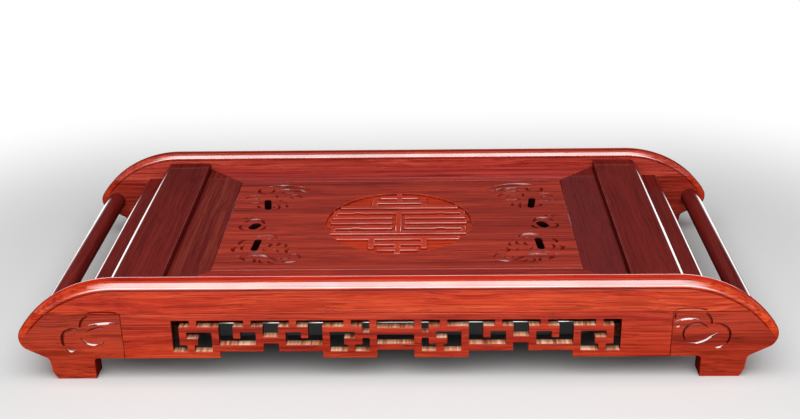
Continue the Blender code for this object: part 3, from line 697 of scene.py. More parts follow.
@dataclass
class Plate:
    """A flat board with a rounded edge, openings, pockets and carved strokes.

    Attributes:
        plane: where its drawing lies, which is its front face.
        thickness: in millimetres.
        edge: the outline on the front face.
        back: rounding of the back edge, or None for the same as the front.
        openings: edges of the holes that go right through.
        pockets: recesses in the front face.
        sockets: recesses in the back face.
        strokes: carved cuts in the front face.
        hole_slot: material slot of the walls of the holes.
        hole_shade: painted shade on those walls.
        floor_slot: material slot of pockets in the front face.
        cut_slot: material slot of the strokes.
        gloss_slot: material slot of the strokes with a lacquered side.
        edge_slot: material slot of the rounding round the outline.
        wall_slot: material slot of the wall between the two roundings.
        wall_start: how far through a hole with painted shade its wall gets it, as a share.
        floor_share: how far down the wall of a pocket its painted shade is darkest, as a share.
        floor_dark: that painted shade there, and on the floor.
    """

    plane: Plane
    thickness: float
    edge: Rim
    back: Optional[Rim] = None
    openings: Sequence[Rim] = ()
    pockets: Sequence[Pocket] = ()
    sockets: Sequence[Pocket] = ()
    strokes: Sequence[Stroke] = ()
    hole_slot: int = 0
    hole_shade: float = 0.0
    floor_slot: int = 0
    cut_slot: int = 0
    gloss_slot: int = 0
    edge_slot: int = 0
    wall_slot: int = 0
    wall_start: float = 0.08
    floor_share: float = 0.75
    floor_dark: tuple[float, float] = (0.8, 0.1)

    def through(self, shell: Shell, front: Rim, back: Rim, slot: int) -> tuple[Array, Array]:
        """Add the rounded wall between the front and back faces.

        Args:
            shell: what the wall is added to.
            front: its edge on the front face.
            back: its edge on the back face.
            slot: material slot of the wall.

        Returns:
            The loops at which the flat faces start.
        """
        flats, deeps = front.rows()
        back_flats, back_deeps = back.rows()
        rings = self.plane.place(flats, deeps)
        others = self.plane.place(back_flats, self.thickness - back_deeps)
        rounding = self.edge_slot if front is self.edge else slot if self.hole_shade else 0
        shell.rows(rings, rounding, cut=front.darkness(deeps))
        wall = [rings[-1], others[-1]]
        # Painted shade on the walls of holes, from a little way in
        dark = 0.0 if front is self.edge else self.hole_shade
        if dark:
            wall.insert(1, rings[-1] * (1 - self.wall_start) + others[-1] * self.wall_start)
        shell.rows(np.stack(wall), slot, cut=np.array([0, dark, dark][: len(wall)])[:, None])
        shell.rows(others[::-1], rounding, cut=back.darkness(back_deeps)[::-1])
        return flats[0], back_flats[0]

    def sink(self, shell: Shell, pocket: Pocket, depth_of: float, sign: float) -> Array:
        """Add a pocket's wall and floor.

        Args:
            shell: what they are added to.
            pocket: the recess.
            depth_of: depth of the face that it starts from.
            sign: 1 for a pocket in the front face, -1 for one in the back.

        Returns:
            The loop that it leaves in that face.
        """
        flats, deeps = pocket.rim.rows()
        rings = self.plane.place(flats, depth_of + sign * deeps)
        slot = self.floor_slot if sign > 0 else 0
        lower = [
            self.plane.place(flats[-1], depth_of + sign * pocket.depth * share)
            for share in (self.floor_share, 1)
        ]
        # Painted shade low on the pocket's wall and at its floor
        cut = np.append(np.zeros(len(rings)), self.floor_dark)[:, None]
        shell.rows(np.concatenate((rings, lower)), slot, cut=cut)
        shell.flat(self.plane, [flats[-1]], depth_of + sign * pocket.depth, slot)
        return flats[0]

    def build(self) -> Shell:
        """Make the whole plate.

        Returns:
            A new shell with its patches.
        """
        shell, fronts, backs = Shell(), [], []
        pairs = [(self.edge, self.back or self.edge, self.wall_slot)]
        pairs += [(opening, opening, self.hole_slot) for opening in self.openings]
        for front, back, slot in pairs:
            outer, inner = self.through(shell, front, back, slot)
            fronts.append(outer)
            backs.append(inner)
        fronts += [self.sink(shell, pocket, 0, 1) for pocket in self.pockets]
        backs += [self.sink(shell, pocket, self.thickness, -1) for pocket in self.sockets]
        for stroke in self.strokes:
            flats, deeps, cut = stroke.grid()
            slot = self.gloss_slot if stroke.gloss else self.cut_slot
            shell.rows(self.plane.place(flats, deeps), slot, closed=False, cut=cut)
            fronts.append(stroke.loop())
        shell.flat(self.plane, fronts, 0)
        shell.flat(self.plane, backs, self.thickness)
        return shell


def even_rim(loop: Array, radius: float, steps: int = 3) -> Rim:
    """A rim that is rounded the same all the way round."""
    return Rim(loop, np.full(len(loop), radius), steps=steps)


def carry(outline: Array, reach: float, ease: float, last: float = 1.5) -> Shell:
    """Carry an outline in X and Z along Y, with its ends eased and closed.

    Args:
        outline: the bar's section in millimetres, anticlockwise.
        reach: how far the bar runs each way, in millimetres.
        ease: small rounding of the end arrises.
        last: width of a strip beside them that keeps their shading off the bar.

    Returns:
        A new shell with the bar's patches.
    """
    flats, deeps = even_rim(outline, ease, 2).rows()
    flats = np.concatenate((flats, flats[-1:]))
    deeps = np.concatenate((deeps, deeps[-1:] + last))
    depths = np.concatenate((deeps, (2 * reach - deeps)[::-1]))
    places = np.concatenate((flats, flats[::-1]))
    plane, shell = Plane(True, -reach * MM, 1), Shell()
    shell.rows(plane.place(places, depths))
    shell.flat(plane, [flats[0]], 0)
    shell.flat(plane, [flats[0]], 2 * reach)
    return shell


# ---------------------------------------------------------------- shader maths


class Value:
    """A socket of a shader node that takes part in ordinary arithmetic."""

    def __init__(self, nodes: "Nodes", socket: bpy.types.NodeSocket) -> None:
        """Wrap an output socket of a node tree."""
        self.nodes = nodes
        self.socket = socket

    def maths(self, operation: str, *others: Number) -> "Value":
        """A Math node on this value and others."""
        return self.nodes.add("Math", {"operation": operation}, [self, *others])

    def __add__(self, other: Number) -> "Value":
        """Sum."""
        return self.maths("ADD", other)

    def __sub__(self, other: Number) -> "Value":
        """Difference."""
        return self.maths("SUBTRACT", other)

    def __rsub__(self, other: Number) -> "Value":
        """A number less this value."""
        return self.nodes.add("Math", {"operation": "SUBTRACT"}, [other, self])

    def __mul__(self, other: Number) -> "Value":
        """Product."""
        return self.maths("MULTIPLY", other)

    def power(self, other: Number) -> "Value":
        """This value to a power."""
        return self.maths("POWER", other)

    def step(self, low: float, high: float) -> "Value":
        """Smooth rise from 0 at low to 1 at high, or a fall where low is above high."""
        inputs = {"Value": self, "From Min": low, "From Max": high}
        return self.nodes.add("MapRange", {"interpolation_type": "SMOOTHSTEP"}, inputs)

    def largest(self, other: Number) -> "Value":
        """The larger of two values."""
        return self.maths("MAXIMUM", other)


class Nodes:
    """The node tree of one material or world."""

    def __init__(self, tree: bpy.types.NodeTree) -> None:
        """Empty a tree and keep it."""
        self.tree = tree
        tree.nodes.clear()

    def add(
        self, kind: str, settings: dict, inputs: Union[dict, Sequence], output: Union[int, str] = 0
    ) -> Value:
        """Add a node.

        Args:
            kind: the node's type, after the word ShaderNode.
            settings: properties that are set before its sockets; a ramp's stops too.
            inputs: values or links of its sockets, by name or in order.
            output: which output to return.

        Returns:
            The chosen output.
        """
        node = self.tree.nodes.new("ShaderNode" + kind)
        for key, setting in settings.items():
            if key == "stops":
                ramp = node.color_ramp
                while len(ramp.elements) < len(setting):
                    ramp.elements.new(1.0)
                for element, (place, colour) in zip(ramp.elements, setting):
                    element.position = place
                    element.color = (*colour, 1.0)
            else:
                setattr(node, key, setting)
        pairs = inputs.items() if isinstance(inputs, dict) else enumerate(inputs)
        for key, given in pairs:
            socket = node.inputs[key]
            if isinstance(given, Value):
                self.tree.links.new(given.socket, socket)
            else:
                socket.default_value = given
        return Value(self, node.outputs[output]) if node.outputs else Value(self, None)

    def place(
        self, scale: Triple = (1, 1, 1), shift: Triple = (0, 0, 0), bend: Optional[Value] = None
    ) -> Value:
        """Object coordinates.

        Args:
            scale: what they are multiplied by, after bending.
            shift: what is added last.
            bend: what is added first, if anything.

        Returns:
            The coordinates.
        """
        where = self.add("TexCoord", {}, {}, "Object")
        if bend is not None:
            where = self.add("VectorMath", {"operation": "ADD"}, [where, bend])
        return self.add("Mapping", {}, {"Vector": where, "Scale": scale, "Location": shift})

    def noise(self, where: Value, detail: float) -> Value:
        """Noise of unit size at given coordinates."""
        inputs = {"Vector": where, "Scale": 1.0, "Detail": detail, "Roughness": 0.55}
        return self.add("TexNoise", {}, inputs, "Fac")

    def mix(self, share: Number, first: Paint, second: Paint, blend: str = "MIX") -> Value:
        """A blend of two colours.

        Args:
            share: how much of the second there is.
            first: the colour underneath.
            second: the colour over it.
            blend: how the second is laid over the first.

        Returns:
            The blended colour.
        """
        settings = {"data_type": "RGBA", "blend_type": blend}
        pair = [(*c, 1.0) if isinstance(c, tuple) else c for c in (first, second)]
        return self.add("Mix", settings, {0: share, 6: pair[0], 7: pair[1]}, 2)

    def grey(self, level: Value) -> Value:
        """A grey of given brightness."""
        return self.add("CombineColor", {}, [level] * 3)

    def shaded(self, colour: Paint, level: Value) -> Value:
        """A colour times a brightness."""
        return self.mix(1.0, colour, self.grey(level), "MULTIPLY")

    def split(self, vector: Value) -> list[Value]:
        """The three parts of a vector."""
        node = self.add("SeparateXYZ", {}, [vector]).socket.node
        return [Value(self, output) for output in node.outputs]

    def bump(self, strength: float, distance: float, height: Value) -> Value:
        """A normal that follows a height, with distance in metres."""
        inputs = {"Strength": strength, "Distance": distance, "Height": height}
        return self.add("Bump", {}, inputs)

    def rays(self, *kinds: str) -> list[Value]:
        """For each kind of ray, 1 where the shader is met by it."""
        return [self.add("LightPath", {}, {}, f"Is {kind} Ray") for kind in kinds]

    def shade(self, sockets: dict[str, object]) -> None:
        """Finish a material with a Principled shader."""
        shader = self.add("BsdfPrincipled", {}, sockets)
        self.add("OutputMaterial", {}, {"Surface": shader})


@dataclass(frozen=True)
class Finish:
    """A finish that a piece can have.

    Attributes:
        name: name of the material.
        slot: slot of the record that it belongs to; not used.
    """

    name: str
    slot: str

    def material(self) -> bpy.types.Material:
        """The Blender material of this finish, made once.

        Returns:
            The material, new or as it was made before.
        """
        made = bpy.data.materials.get("look_" + self.name)
        if made is None:
            made = bpy.data.materials.new("look_" + self.name)
            made.use_nodes = True
            self.nodes(Nodes(made.node_tree))
        return made

    def nodes(self, nodes: Nodes) -> None:
        """Fill the material's node tree; each kind of finish does so in its own way."""
        raise NotImplementedError


# Colour of pores, and of the painted shade in cuts and on walls that look inward, as a
# share of the darkest streaks; colour of the painted shade on sawn walls that do not look
# up; and refractive index of the lacquer, set for strong reflections
DEEP = 0.3
SIDE_SHADE = (0.012, 0.007, 0.006)
LACQUER = 3.4
# Distances from the middle, in metres, between which edges lose their gloss at the ends
FADE = (0.236, 0.27)


@dataclass(frozen=True)
class Rosewood(Finish):
    """Rosewood with ribbons of darker grain, fine pores and a lacquer.

    Attributes:
        grain: the way the grain runs.
        tint: its colours.
        shift: moves the figure, so that no two boards have the same.
        contrast: how strong the streaks are.
        coat: weight of the lacquer on faces that look up.
        polish: weight of the lacquer on rounded edges, which hands and cloths rub.
        wear: how unevenly those are rubbed.
        patch: how many worn patches there are in a metre.
        brink: how little a surface may look up before it counts as upright.
        crest: how far it may look up before it counts as flat.
        fade: how much gloss the edges that look to the front lose at the tray's ends.
        back: how much gloss the edges that look to the back have.
        outward: whether only edges that look away from the middle are glossy.
        painted_inner_shade: how much darker, as painted shade, walls are that look towards the
            middle.
        edge_coat: weight of the lacquer on upright faces.
        rough: roughness of the surface under the lacquer.
        pore: how dark the pores and the fine lines are.
        painted_side_shade: how much darker, as painted shade, the faces are that do not look up.
    """

    grain: Grain = Grain.ALONG_X
    tint: Tint = Tint.SIDE
    shift: Triple = (0.0, 0.0, 0.0)
    contrast: float = 1.0
    coat: float = 0.14
    polish: float = 1.0
    wear: float = 0.15
    patch: float = 28.0
    brink: float = 0.25
    crest: float = 0.9985
    fade: float = 0.0
    back: float = 1.0
    outward: bool = False
    painted_inner_shade: float = 0.0
    edge_coat: float = 0.015
    rough: float = 0.4
    pore: float = 0.5
    painted_side_shade: float = 0.0

    def scale(self, along: float, across: float) -> Triple:
        """Scales that stretch a pattern along the grain."""
        return tuple(along if axis.value == self.grain.value else across for axis in Grain)

    def nodes(self, nodes: Nodes) -> None:
        """Grain, pores, figure and lacquer; cuts get painted shade and have less lacquer.

        Scales are in cycles a metre. The lacquer lies on what looks up, and on the
        rounded edges between, as far as the attributes let it.

        Args:
            nodes: the material's tree.
        """
        dark, mid, light = self.tint.value
        warp = nodes.noise(nodes.place(self.scale(7, 25), self.shift), 2)
        bend = nodes.add("CombineXYZ", {}, [(warp - 0.5) * 0.012] * 3)

        def figure(along: float, across: float, detail: float) -> Value:
            """Noise stretched along the grain and bent by the figure."""
            return nodes.noise(nodes.place(self.scale(along, across), self.shift, bend), detail)

        ribbon, thread = figure(2.6, 150, 4), figure(11, 620, 3)
        tone = nodes.noise(nodes.place(self.scale(4, 16), self.shift), 2)
        lines = figure(10, 1050, 2).step(0.52, 0.64)
        pores = figure(60, 1900, 1).step(0.60, 0.70)
        streak = (ribbon * 0.48 + thread * 0.52 - 0.5) * self.contrast + 0.5
        stops = [(0.34, dark), (0.47, mid), (0.66, light)]
        colour = nodes.add("ValToRGB", {"stops": stops}, [streak], 0)
        colour = nodes.shaded(colour, (tone - 0.5) * 0.6 * self.contrast + 1.0)
        deep = tuple(part * DEEP for part in dark)
        colour = nodes.mix(pores.largest(lines) * self.pore, colour, deep)
        side, away, up = nodes.split(nodes.add("NewGeometry", {}, {}, "Normal"))
        x = nodes.split(nodes.place())[0]
        # Painted shade in cuts, grooves and hole walls, read from the point attribute
        cut = nodes.add("Attribute", {"attribute_name": "cut"}, {}, "Fac")
        colour = nodes.mix(cut * 0.85, colour, deep)
        # Painted shade, nearly black, on faces that do not look up
        if self.painted_side_shade:
            colour = nodes.mix(up.step(0.8, 0.3) * self.painted_side_shade, colour, SIDE_SHADE)
        # Painted shade on walls that look towards the middle
        if self.painted_inner_shade:
            colour = nodes.mix((side * x).step(-0.02, -0.1) * self.painted_inner_shade, colour, deep)
        rub = nodes.noise(nodes.place((self.patch,) * 3, self.shift), 2).step(0.62, 0.38)
        rounded = up.step(self.brink * 0.4, self.brink * 1.6)
        rounded = rounded * up.step(self.crest, 3 * self.crest - 2) * (1.0 - rub * self.wear)
        if self.fade:
            behind = away.step(-0.05, 0.15)
            ends = (x.maths("ABSOLUTE") + up * 0.03).step(*FADE)
            ahead = 1.0 - ends * self.fade
            rounded = rounded * (ahead * (1.0 - behind) + behind * self.back)
        if self.outward:
            rounded = rounded * (side * x).step(0.0, 0.01)
        coat = up.step(0.25, 0.85) * (self.coat - self.edge_coat) + self.edge_coat
        nodes.shade(
            {
                "Base Color": colour,
                "Roughness": (thread - 0.5) * 0.25 + pores * 0.15 + self.rough,
                "Coat Weight": (coat + rounded * (self.polish - self.coat)) * (1.0 - cut),
                "Coat Roughness": 0.1,
                "Coat IOR": LACQUER,
                "Specular IOR Level": 0.0,
                "Normal": nodes.bump(0.22, 0.0002, thread * 0.5 - pores),
            }
        )


@dataclass(frozen=True)
class Steel(Finish):
    """Steel with fine lines from brushing.

    Attributes:
        colour: base colour.
        rough: mean roughness.
    """

    colour: Colour = (0.62, 0.62, 0.6)
    rough: float = 0.28

    def nodes(self, nodes: Nodes) -> None:
        """Brushed lines and faint smears.

        Args:
            nodes: the material's tree.
        """
        lines = nodes.noise(nodes.place((12, 900, 900)), 3) - 0.5
        smear = nodes.noise(nodes.place((14, 14, 14), (3, 1, 2)), 3) - 0.5
        nodes.shade(
            {
                "Base Color": nodes.shaded(self.colour, lines * 0.2 + smear * 0.12 + 1.0),
                "Metallic": 1.0,
                "Roughness": lines * 0.3 + smear * 0.2 + self.rough,
                "Normal": nodes.bump(0.1, 0.0001, lines),
            }
        )


@dataclass(frozen=True)
class Floor(Finish):
    """Pale studio floor, very faintly mottled, with a painted shadow right under the tray.

    Further out it turns into plain white for the camera. For glossy rays it glows at three
    times white before and behind the tray, as painted light for highlights in the lacquer.
    """

    def nodes(self, nodes: Nodes) -> None:
        """A matt pale colour, blended into white.

        Args:
            nodes: the material's tree.
        """
        cloud = nodes.noise(nodes.place((2, 2, 2)), 3)
        x, y = (part.maths("ABSOLUTE") for part in nodes.split(nodes.place())[:2])
        # Painted shadow: the floor is darkened right under the tray
        under = x.step(0.30, 0.18) * y.step(0.15, 0.08)
        shade = (cloud - 0.5) * 0.02 + 1.0 - under * 0.92
        inputs = {"Roughness": 0.8, "Specular IOR Level": 0.2}
        inputs["Base Color"] = nodes.shaded((0.6, 0.6, 0.6), shade)
        matt = nodes.add("BsdfPrincipled", {}, inputs)
        white, bright = (
            nodes.add("Emission", {}, {"Color": (1.0, 1.0, 1.0, 1.0), "Strength": strength})
            for strength in (1.0, 3.0)
        )
        beside, before = (x - 0.26).largest(0.0), (y - 0.1).largest(0.0)
        away = (beside * beside + before * before).power(0.5)
        camera, through, glossy = nodes.rays("Camera", "Transmission", "Glossy")
        seen = camera.largest(through) * away.step(0.06, 0.42)
        mixed = nodes.add("MixShader", {}, [seen, matt, white])
        # For glossy rays the floor before and behind the tray glows at three times white: painted
        # light for the lacquer's highlights
        mixed = nodes.add("MixShader", {}, [glossy * y.step(0.18, 0.24), mixed, bright])
        nodes.add("OutputMaterial", {}, {"Surface": mixed})


MATT = {"coat": 0.0, "polish": 0.0, "edge_coat": 0.0}
SIDE_WOOD = Rosewood("side_wood", "side_rosewood", contrast=1.25, coat=0.02, polish=0.1)
DARK_WOOD = Rosewood(
    "dark_wood", "dark_rosewood", Grain.ALONG_Y, Tint.DARK, coat=0.11, pore=0.3, outward=True
)


# ---------------------------------------------------------------- side boards

# Cuts on the side boards, on a drawing of the right-hand end: width, depth, how pointed,
# lean, painted shade on the gentle side, and the places that the gouge passes, in millimetres
CLOUDS = {
    End.LEFT: (
        (2.3, 1.2, 0.3, 0.6, 1, (241.4, 56.9), (244.6, 54.9), (247.4, 51.2), (248.6, 46.5)),
        (3.2, 1.4, 0.35, 0.7, 1,
         (250.5, 45.2), (256, 45), (261, 42.5), (263.5, 38), (263.6, 33), (262.6, 30.4)),
        (1.3, 0.8, 0.6, -0.45, 0, (262.4, 28.0), (260, 26.0), (256.6, 25.2), (252.2, 26.2)),
        (1.9, 1.0, 0.95, 0.45, 0,
         (218, 50.7), (224, 50.6), (230, 50.3), (236, 49.7), (242.5, 48.7)),
        (1.6, 0.8, 0.8, 0.5, 1, (226.7, 45.6), (232.5, 46.6), (239.5, 45.2), (244, 42.8)),
        (1.5, 0.9, 0.8, -0.45, 0,
         (249, 38), (247.4, 34.9), (244.2, 32.4), (239.2, 31.1), (233.6, 31.9), (229.6, 34.2)),
    ),
    End.RIGHT: (
        (2.2, 1.1, 0.3, 0.7, 1, (241.0, 57.0), (243.4, 54.8), (245.5, 51), (246.2, 47.4)),
        (2.2, 1.2, 0.35, 0.7, 1,
         (249, 47.5), (254, 46.8), (258.5, 44), (261, 39.5), (260.8, 34), (258.8, 29.9)),
        (1.4, 0.8, 0.6, -0.45, 0, (256.8, 28.3), (254, 26.8), (249.5, 26)),
        (1.4, 0.8, 0.2, 0.5, 1, (217.7, 57.2), (217.4, 54.6), (217.5, 51.8)),
        (0.9, 0.5, 0.3, 0.4, 0,
         (218.0, 47.6), (218.3, 45.7), (220.3, 45.1), (221.8, 46.3), (221.0, 47.9)),
        (1.5, 0.8, 0.7, 0.45, 0, (217.9, 49.3), (221.2, 51), (227, 52), (232.3, 52), (236, 51.2)),
        (2.0, 1.0, 0.5, -0.7, 1,
         (244, 44), (238, 48), (231, 47.5), (226, 43.5), (224.8, 38), (226.5, 33)),
        (1.5, 0.8, 0.7, 0.45, 0,
         (228.5, 30.6), (235, 30.4), (241.5, 32.6), (246, 35.8), (251.8, 39.6)),
    ),
}
# The tops of the clouds, which reach into the top rail, at both ends
CROWNS = (
    (1.9, 1.1, 0.1, 0.5, 1,
     (217.6, 59.7), (220, 60.6), (226, 61.0), (234, 61.0), (239, 60.4), (241.8, 59.6)),
    (1.6, 1.1, 0.3, -0.5, 1,
     (-241.6, 59.5), (-237, 60.3), (-230, 60.4), (-223, 60.2), (-218, 59.6)),
)


def cloud_cuts(table: Sequence[Sequence]) -> list[Stroke]:
    """Strokes of a cloud; one with no painted shade on its gentle side is glossy.

    Args:
        table: rows as in CLOUDS.

    Returns:
        One stroke for each row.
    """
    return [
        Stroke(tuple(knots), width, depth, point, lean, gentle, not gentle)
        for width, depth, point, lean, gentle, *knots in table
    ]


@dataclass
class SideBoards:
    """Near and far boards: top rail, two end blocks and the fretwork between them.

    Attributes are in millimetres, as on a drawing of one board about its middle. They
    name the outline first, then its grooves, the rod's socket and the bars of the
    fretwork.
    """

    half_length: float = 300.0
    top: float = 84.6
    thickness: float = 17.0
    seam: float = 58.5
    seam_run: float = 16.0
    seam_rise: float = 6.0
    glue: float = 0.3
    fall_radius: float = 96.0
    tip_radius: float = 11.0
    tip_height: float = 37.0
    tuck_slope: float = math.radians(27.5)
    outer_bead: float = 6.2
    inner_bead: float = 5.0
    foot_round: float = 0.9
    block_inner: float = 216.0
    block_underside: float = 18.5
    foot: tuple[float, float, float, float] = (240.0, 271.6, 275.2, 276.6)
    foot_turns: tuple[float, float, float, float, float] = (2.5, 1.0, 2.0, 4.0, 5.0)
    foot_flare: float = 6.5
    groove: float = 0.7
    groove_start: float = 40.0
    groove_run: float = 10.0
    rod_place: float = 284.5
    rod_radius: float = 8.35
    rod_socket: float = 9.3
    rod_ease: float = 0.2
    fret_thickness: float = 7.5
    bar: float = 5.9
    bar_round: float = 0.7
    bar_ease: float = 0.45
    slot_height: float = 5.5
    brace: float = 5.0
    margin: float = 39.3
    core: float = 6.0
    core_rise: float = 7.2
    scroll_shares: tuple[float, float, float, float] = (0.1195, 0.1106, 0.1096, 0.0876)
    sill: float = 12.5
    window: float = 8.4
    notch: float = 7.0

    def fall_centre(self) -> Array:
        """Middle of the long arc in which the board falls to its tip.

        Returns:
            The place in X and Z; the arc touches the top and the small arc of the tip.
        """
        drop = self.tip_height - (self.top - self.fall_radius)
        reach = math.sqrt((self.fall_radius - self.tip_radius) ** 2 - drop**2)
        return np.array((self.half_length - self.tip_radius - reach, self.top - self.fall_radius))

    def fall_angle(self, height: float) -> float:
        """Angle on the long arc at which it passes a height."""
        return math.asin((height - self.fall_centre()[1]) / self.fall_radius)

    def tip(self) -> tuple[Array, float]:
        """The small arc round the tip.

        Returns:
            Its middle, and the angle at which the long arc meets it.
        """
        centre = np.array((self.half_length - self.tip_radius, self.tip_height))
        between = centre - self.fall_centre()
        return centre, math.atan2(between[1], between[0])

    def plane(self, side: Side) -> Plane:
        """The outer face of one board."""
        low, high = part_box(f"{side.word}_top_rail")
        return Plane(True, high[1] if side is Side.FAR else low[1], -side.value)

    def rail_rim(self, bead: float) -> Rim:
        """Outline of the top rail: two falling ends and a seam below.

        Args:
            bead: radius of its rounding.

        Returns:
            The rim with its groove line.
        """
        start = self.fall_angle(self.seam)
        right = arc(self.fall_centre(), self.fall_radius, start, math.pi / 2, 36)
        left = (right * (-1, 1))[::-1]
        inner = right[0, 0] - self.seam_run
        below = np.array([(-inner, self.seam), (inner, self.seam)])
        loop = np.vstack((right, left, below))
        seams = np.zeros(len(loop), bool)
        seams[-3:] = True
        return Rim(loop, np.full(len(loop), bead), seams, groove=np.full(len(loop), self.groove))

    def block_rim(self, bead: float) -> Rim:
        """Outline of the right-hand end block: foot, tip and two seams.

        Args:
            bead: radius of the rounding, which runs down to foot_round along the tip.

        Returns:
            The rim, whose groove line fades out above the tip.
        """
        tip, meet = self.tip()
        round_tip = arc(tip, self.tip_radius, self.tuck_slope - math.pi / 2, meet, 14)
        first = round_tip[0]
        inner, sole, flare, outer = self.foot
        tuck = first[1] - (first[0] - outer) * math.tan(self.tuck_slope)
        foot = [(inner, self.block_underside), (inner, 0), (sole, 0), (flare, self.foot_flare)]
        foot = np.column_stack((foot + [(outer, tuck)], self.foot_turns))
        start = (self.block_inner, self.block_underside, 0)
        corners = np.vstack((start, foot, (*first, 0), (self.block_inner, first[1], 0)))
        lower = turned(corners, 6)[:-2]
        top = self.seam - self.glue
        upper = arc(self.fall_centre(), self.fall_radius, meet, self.fall_angle(top), 16)[1:]
        closing = [
            (upper[-1, 0] - self.seam_run, top),
            (self.block_inner, top),
            (self.block_inner, self.block_underside + self.seam_rise),
        ]
        loop = np.vstack((lower, round_tip, upper, closing))
        seams = np.zeros(len(loop), bool)
        seams[-4:] = True
        place = np.arange(len(loop)) - len(lower)
        share = np.clip(place / len(round_tip), 0, 1)
        radii = self.foot_round + (bead - self.foot_round) * share
        radii[-3:] = self.foot_round
        fade = np.clip((loop[:, 1] - self.groove_start) / self.groove_run, 0, 1)
        return Rim(loop, radii, seams, groove=self.groove * fade * (share >= 1))

    def openings(self) -> tuple[Array, Array]:
        """Boxes of the fretwork's openings and of the steps in its lower edge.

        One scroll is drawn about its own middle, with heights z and places u beside it,
        and then set on both sides of the tray's middle.

        Returns:
            Rows of x low, x high, z low and z high, for openings and for steps.
        """
        bar, slot = self.bar, self.slot_height
        z = np.cumsum([self.block_underside, bar, bar, bar, slot, self.brace, slot])
        end = self.block_inner - self.glue - self.margin
        room = end - (2 * self.core + 2 * (4 * bar + slot) + bar)
        wide = [room * share for share in self.scroll_shares]
        steps = [self.core, bar, wide[0], bar, wide[1], bar, wide[2], wide[3], bar, slot]
        u = np.append(0, np.cumsum(steps))
        middle = end - u[-1]
        stub = (u[2] + u[3] - bar) / 2
        rise = z[1] + self.core_rise
        boxes = [(-u[1], u[1], rise + bar, z[6]), (-stub, stub, z[5], z[6])]
        both = [
            (u[2], u[3], z[2], z[4]),
            (u[2], u[4], z[2], z[3]),
            (u[4], u[5], z[2], z[6]),
            (stub + bar, u[7], z[5], z[6]),
            (u[6], u[7], z[1], z[4]),
            (u[6], u[8], z[3], z[4]),
            (u[6], u[8] - bar, z[1], z[2]),
            (u[8], u[10], z[1], z[2]),
            (u[7] + bar, u[10], z[5], z[6]),
        ]
        inner = [(u[9], u[10], z[1], z[3]), (u[9], u[10], z[3] + self.brace, z[6])]
        boxes += [mirrored(box, -1) for box in both + inner]
        boxes += both + [(u[9], u[10], z[1], z[6])]
        voids = [mirrored(box, sign, shift=middle) for sign in (-1, 1) for box in boxes]
        edge = middle - u[-1] - bar
        low = self.block_underside + self.sill
        high = low + self.window
        voids += [(-edge, edge, low, high), (-edge, edge, high + bar, z[6])]
        below = [(-edge, edge, z[0] - 1, z[0] + self.notch)]
        for sign in (-1, 1):
            below.append(mirrored((-u[5], u[5], z[0] - 1, z[1]), sign, shift=middle))
            below.append(mirrored((-u[1], u[1], z[0], rise), sign, shift=middle))
        return np.array(voids), np.array(below)

    def fret_plate(self, side: Side) -> Plate:
        """The pierced panel, whose corners are rounded but for those at its ends.

        Args:
            side: the board that it belongs to.

        Returns:
            The plate.
        """
        end = self.block_inner - self.glue
        solid = np.array([(-end, end, self.block_underside, self.seam - self.glue)])
        rims = []
        for loop in box_loops(solid, np.vstack(self.openings())):
            corners = np.where(np.abs(loop[:, :1]) > end - 1, 0.0, self.bar_round)
            rims.append(even_rim(turned(np.hstack((loop, corners)), 3), self.bar_ease))
        rims.sort(key=lambda rim: -np.ptp(rim.loop[:, 0]))
        plane = self.plane(side)
        return Plate(plane, self.fret_thickness, rims[0], openings=rims[1:], hole_slot=1)

    def add_rail(self, side: Side) -> None:
        """Make one top rail with the tops of the clouds.

        Args:
            side: the board that it belongs to.
        """
        near = side is Side.NEAR
        wood = replace(
            SIDE_WOOD,
            name=f"{side.word}_rail_wood",
            tint=Tint.SIDE if near else Tint.FAR_SIDE,
            shift=(0.0, 1.7, 0.4) if near else (3.1, 1.7, 1.4),
        )
        rub = {"coat": 0.015, "polish": 0.7, "brink": 0.09, "fade": 0.95, "back": float(near)}
        edge = replace(wood, name=f"{side.word}_rail_edge", **rub)
        # The far rail's top is darker than the near one's: painted shade
        tint = Tint.NEAR_CREST if near else Tint.FAR_CREST
        crest = replace(wood, name=f"{side.word}_rail_top", tint=tint, coat=0.01, polish=0.0)
        plate = Plate(
            self.plane(side),
            self.thickness,
            self.rail_rim(self.outer_bead),
            self.rail_rim(self.inner_bead),
            strokes=cloud_cuts(CROWNS),
            edge_slot=1,
            wall_slot=2,
        )
        plate.build().dress(f"{side.word}_top_rail", Body.CARCASS, wood, edge, crest)

    def add_fret(self, side: Side) -> None:
        """Make one pierced panel; where sawn it is pale above, partly as painted light, and
        dark elsewhere as painted shade.

        Args:
            side: the board that it belongs to.
        """
        far = float(side is Side.FAR)
        name, shift = f"{side.word}_fret_wood", (12.1 + far, 4.4, 2.2)
        wood = replace(SIDE_WOOD, name=name, tint=Tint.FRET, shift=shift)
        # Sawn faces: pale raw wood made paler as painted light, nearly black as painted shade where
        # they do not look up
        look = {"contrast": 1.4, "rough": 0.55, "pore": 0.2, "painted_side_shade": 0.97, **MATT}
        sawn = Rosewood("sawn_side", "side_rosewood", Grain.ALONG_Y, Tint.SAWN, **look)
        plate = self.fret_plate(side)
        plate.build().dress(f"{side.word}_fret_panel", Body.CARCASS, wood, sawn)

    def add_block(self, side: Side, end: End) -> None:
        """Make one end block with its cloud and the socket of the rod.

        Args:
            side: the board that it belongs to.
            end: which end of the board, the left one drawn right-handed and mirrored.
        """
        circle = arc((self.rod_place, self.tip_height), self.rod_radius, 0, -math.tau, 48)[:-1]
        shell = Plate(
            self.plane(side),
            self.thickness,
            self.block_rim(self.outer_bead),
            self.block_rim(self.inner_bead),
            sockets=[Pocket(even_rim(circle, self.rod_ease, 2), self.rod_socket)],
            strokes=cloud_cuts(CLOUDS[end]),
            gloss_slot=2,
            edge_slot=1,
        ).build()
        for points in shell.points:
            points[:, 0] *= end.value
        near = side is Side.NEAR
        word = f"{side.word}_{end.word}"
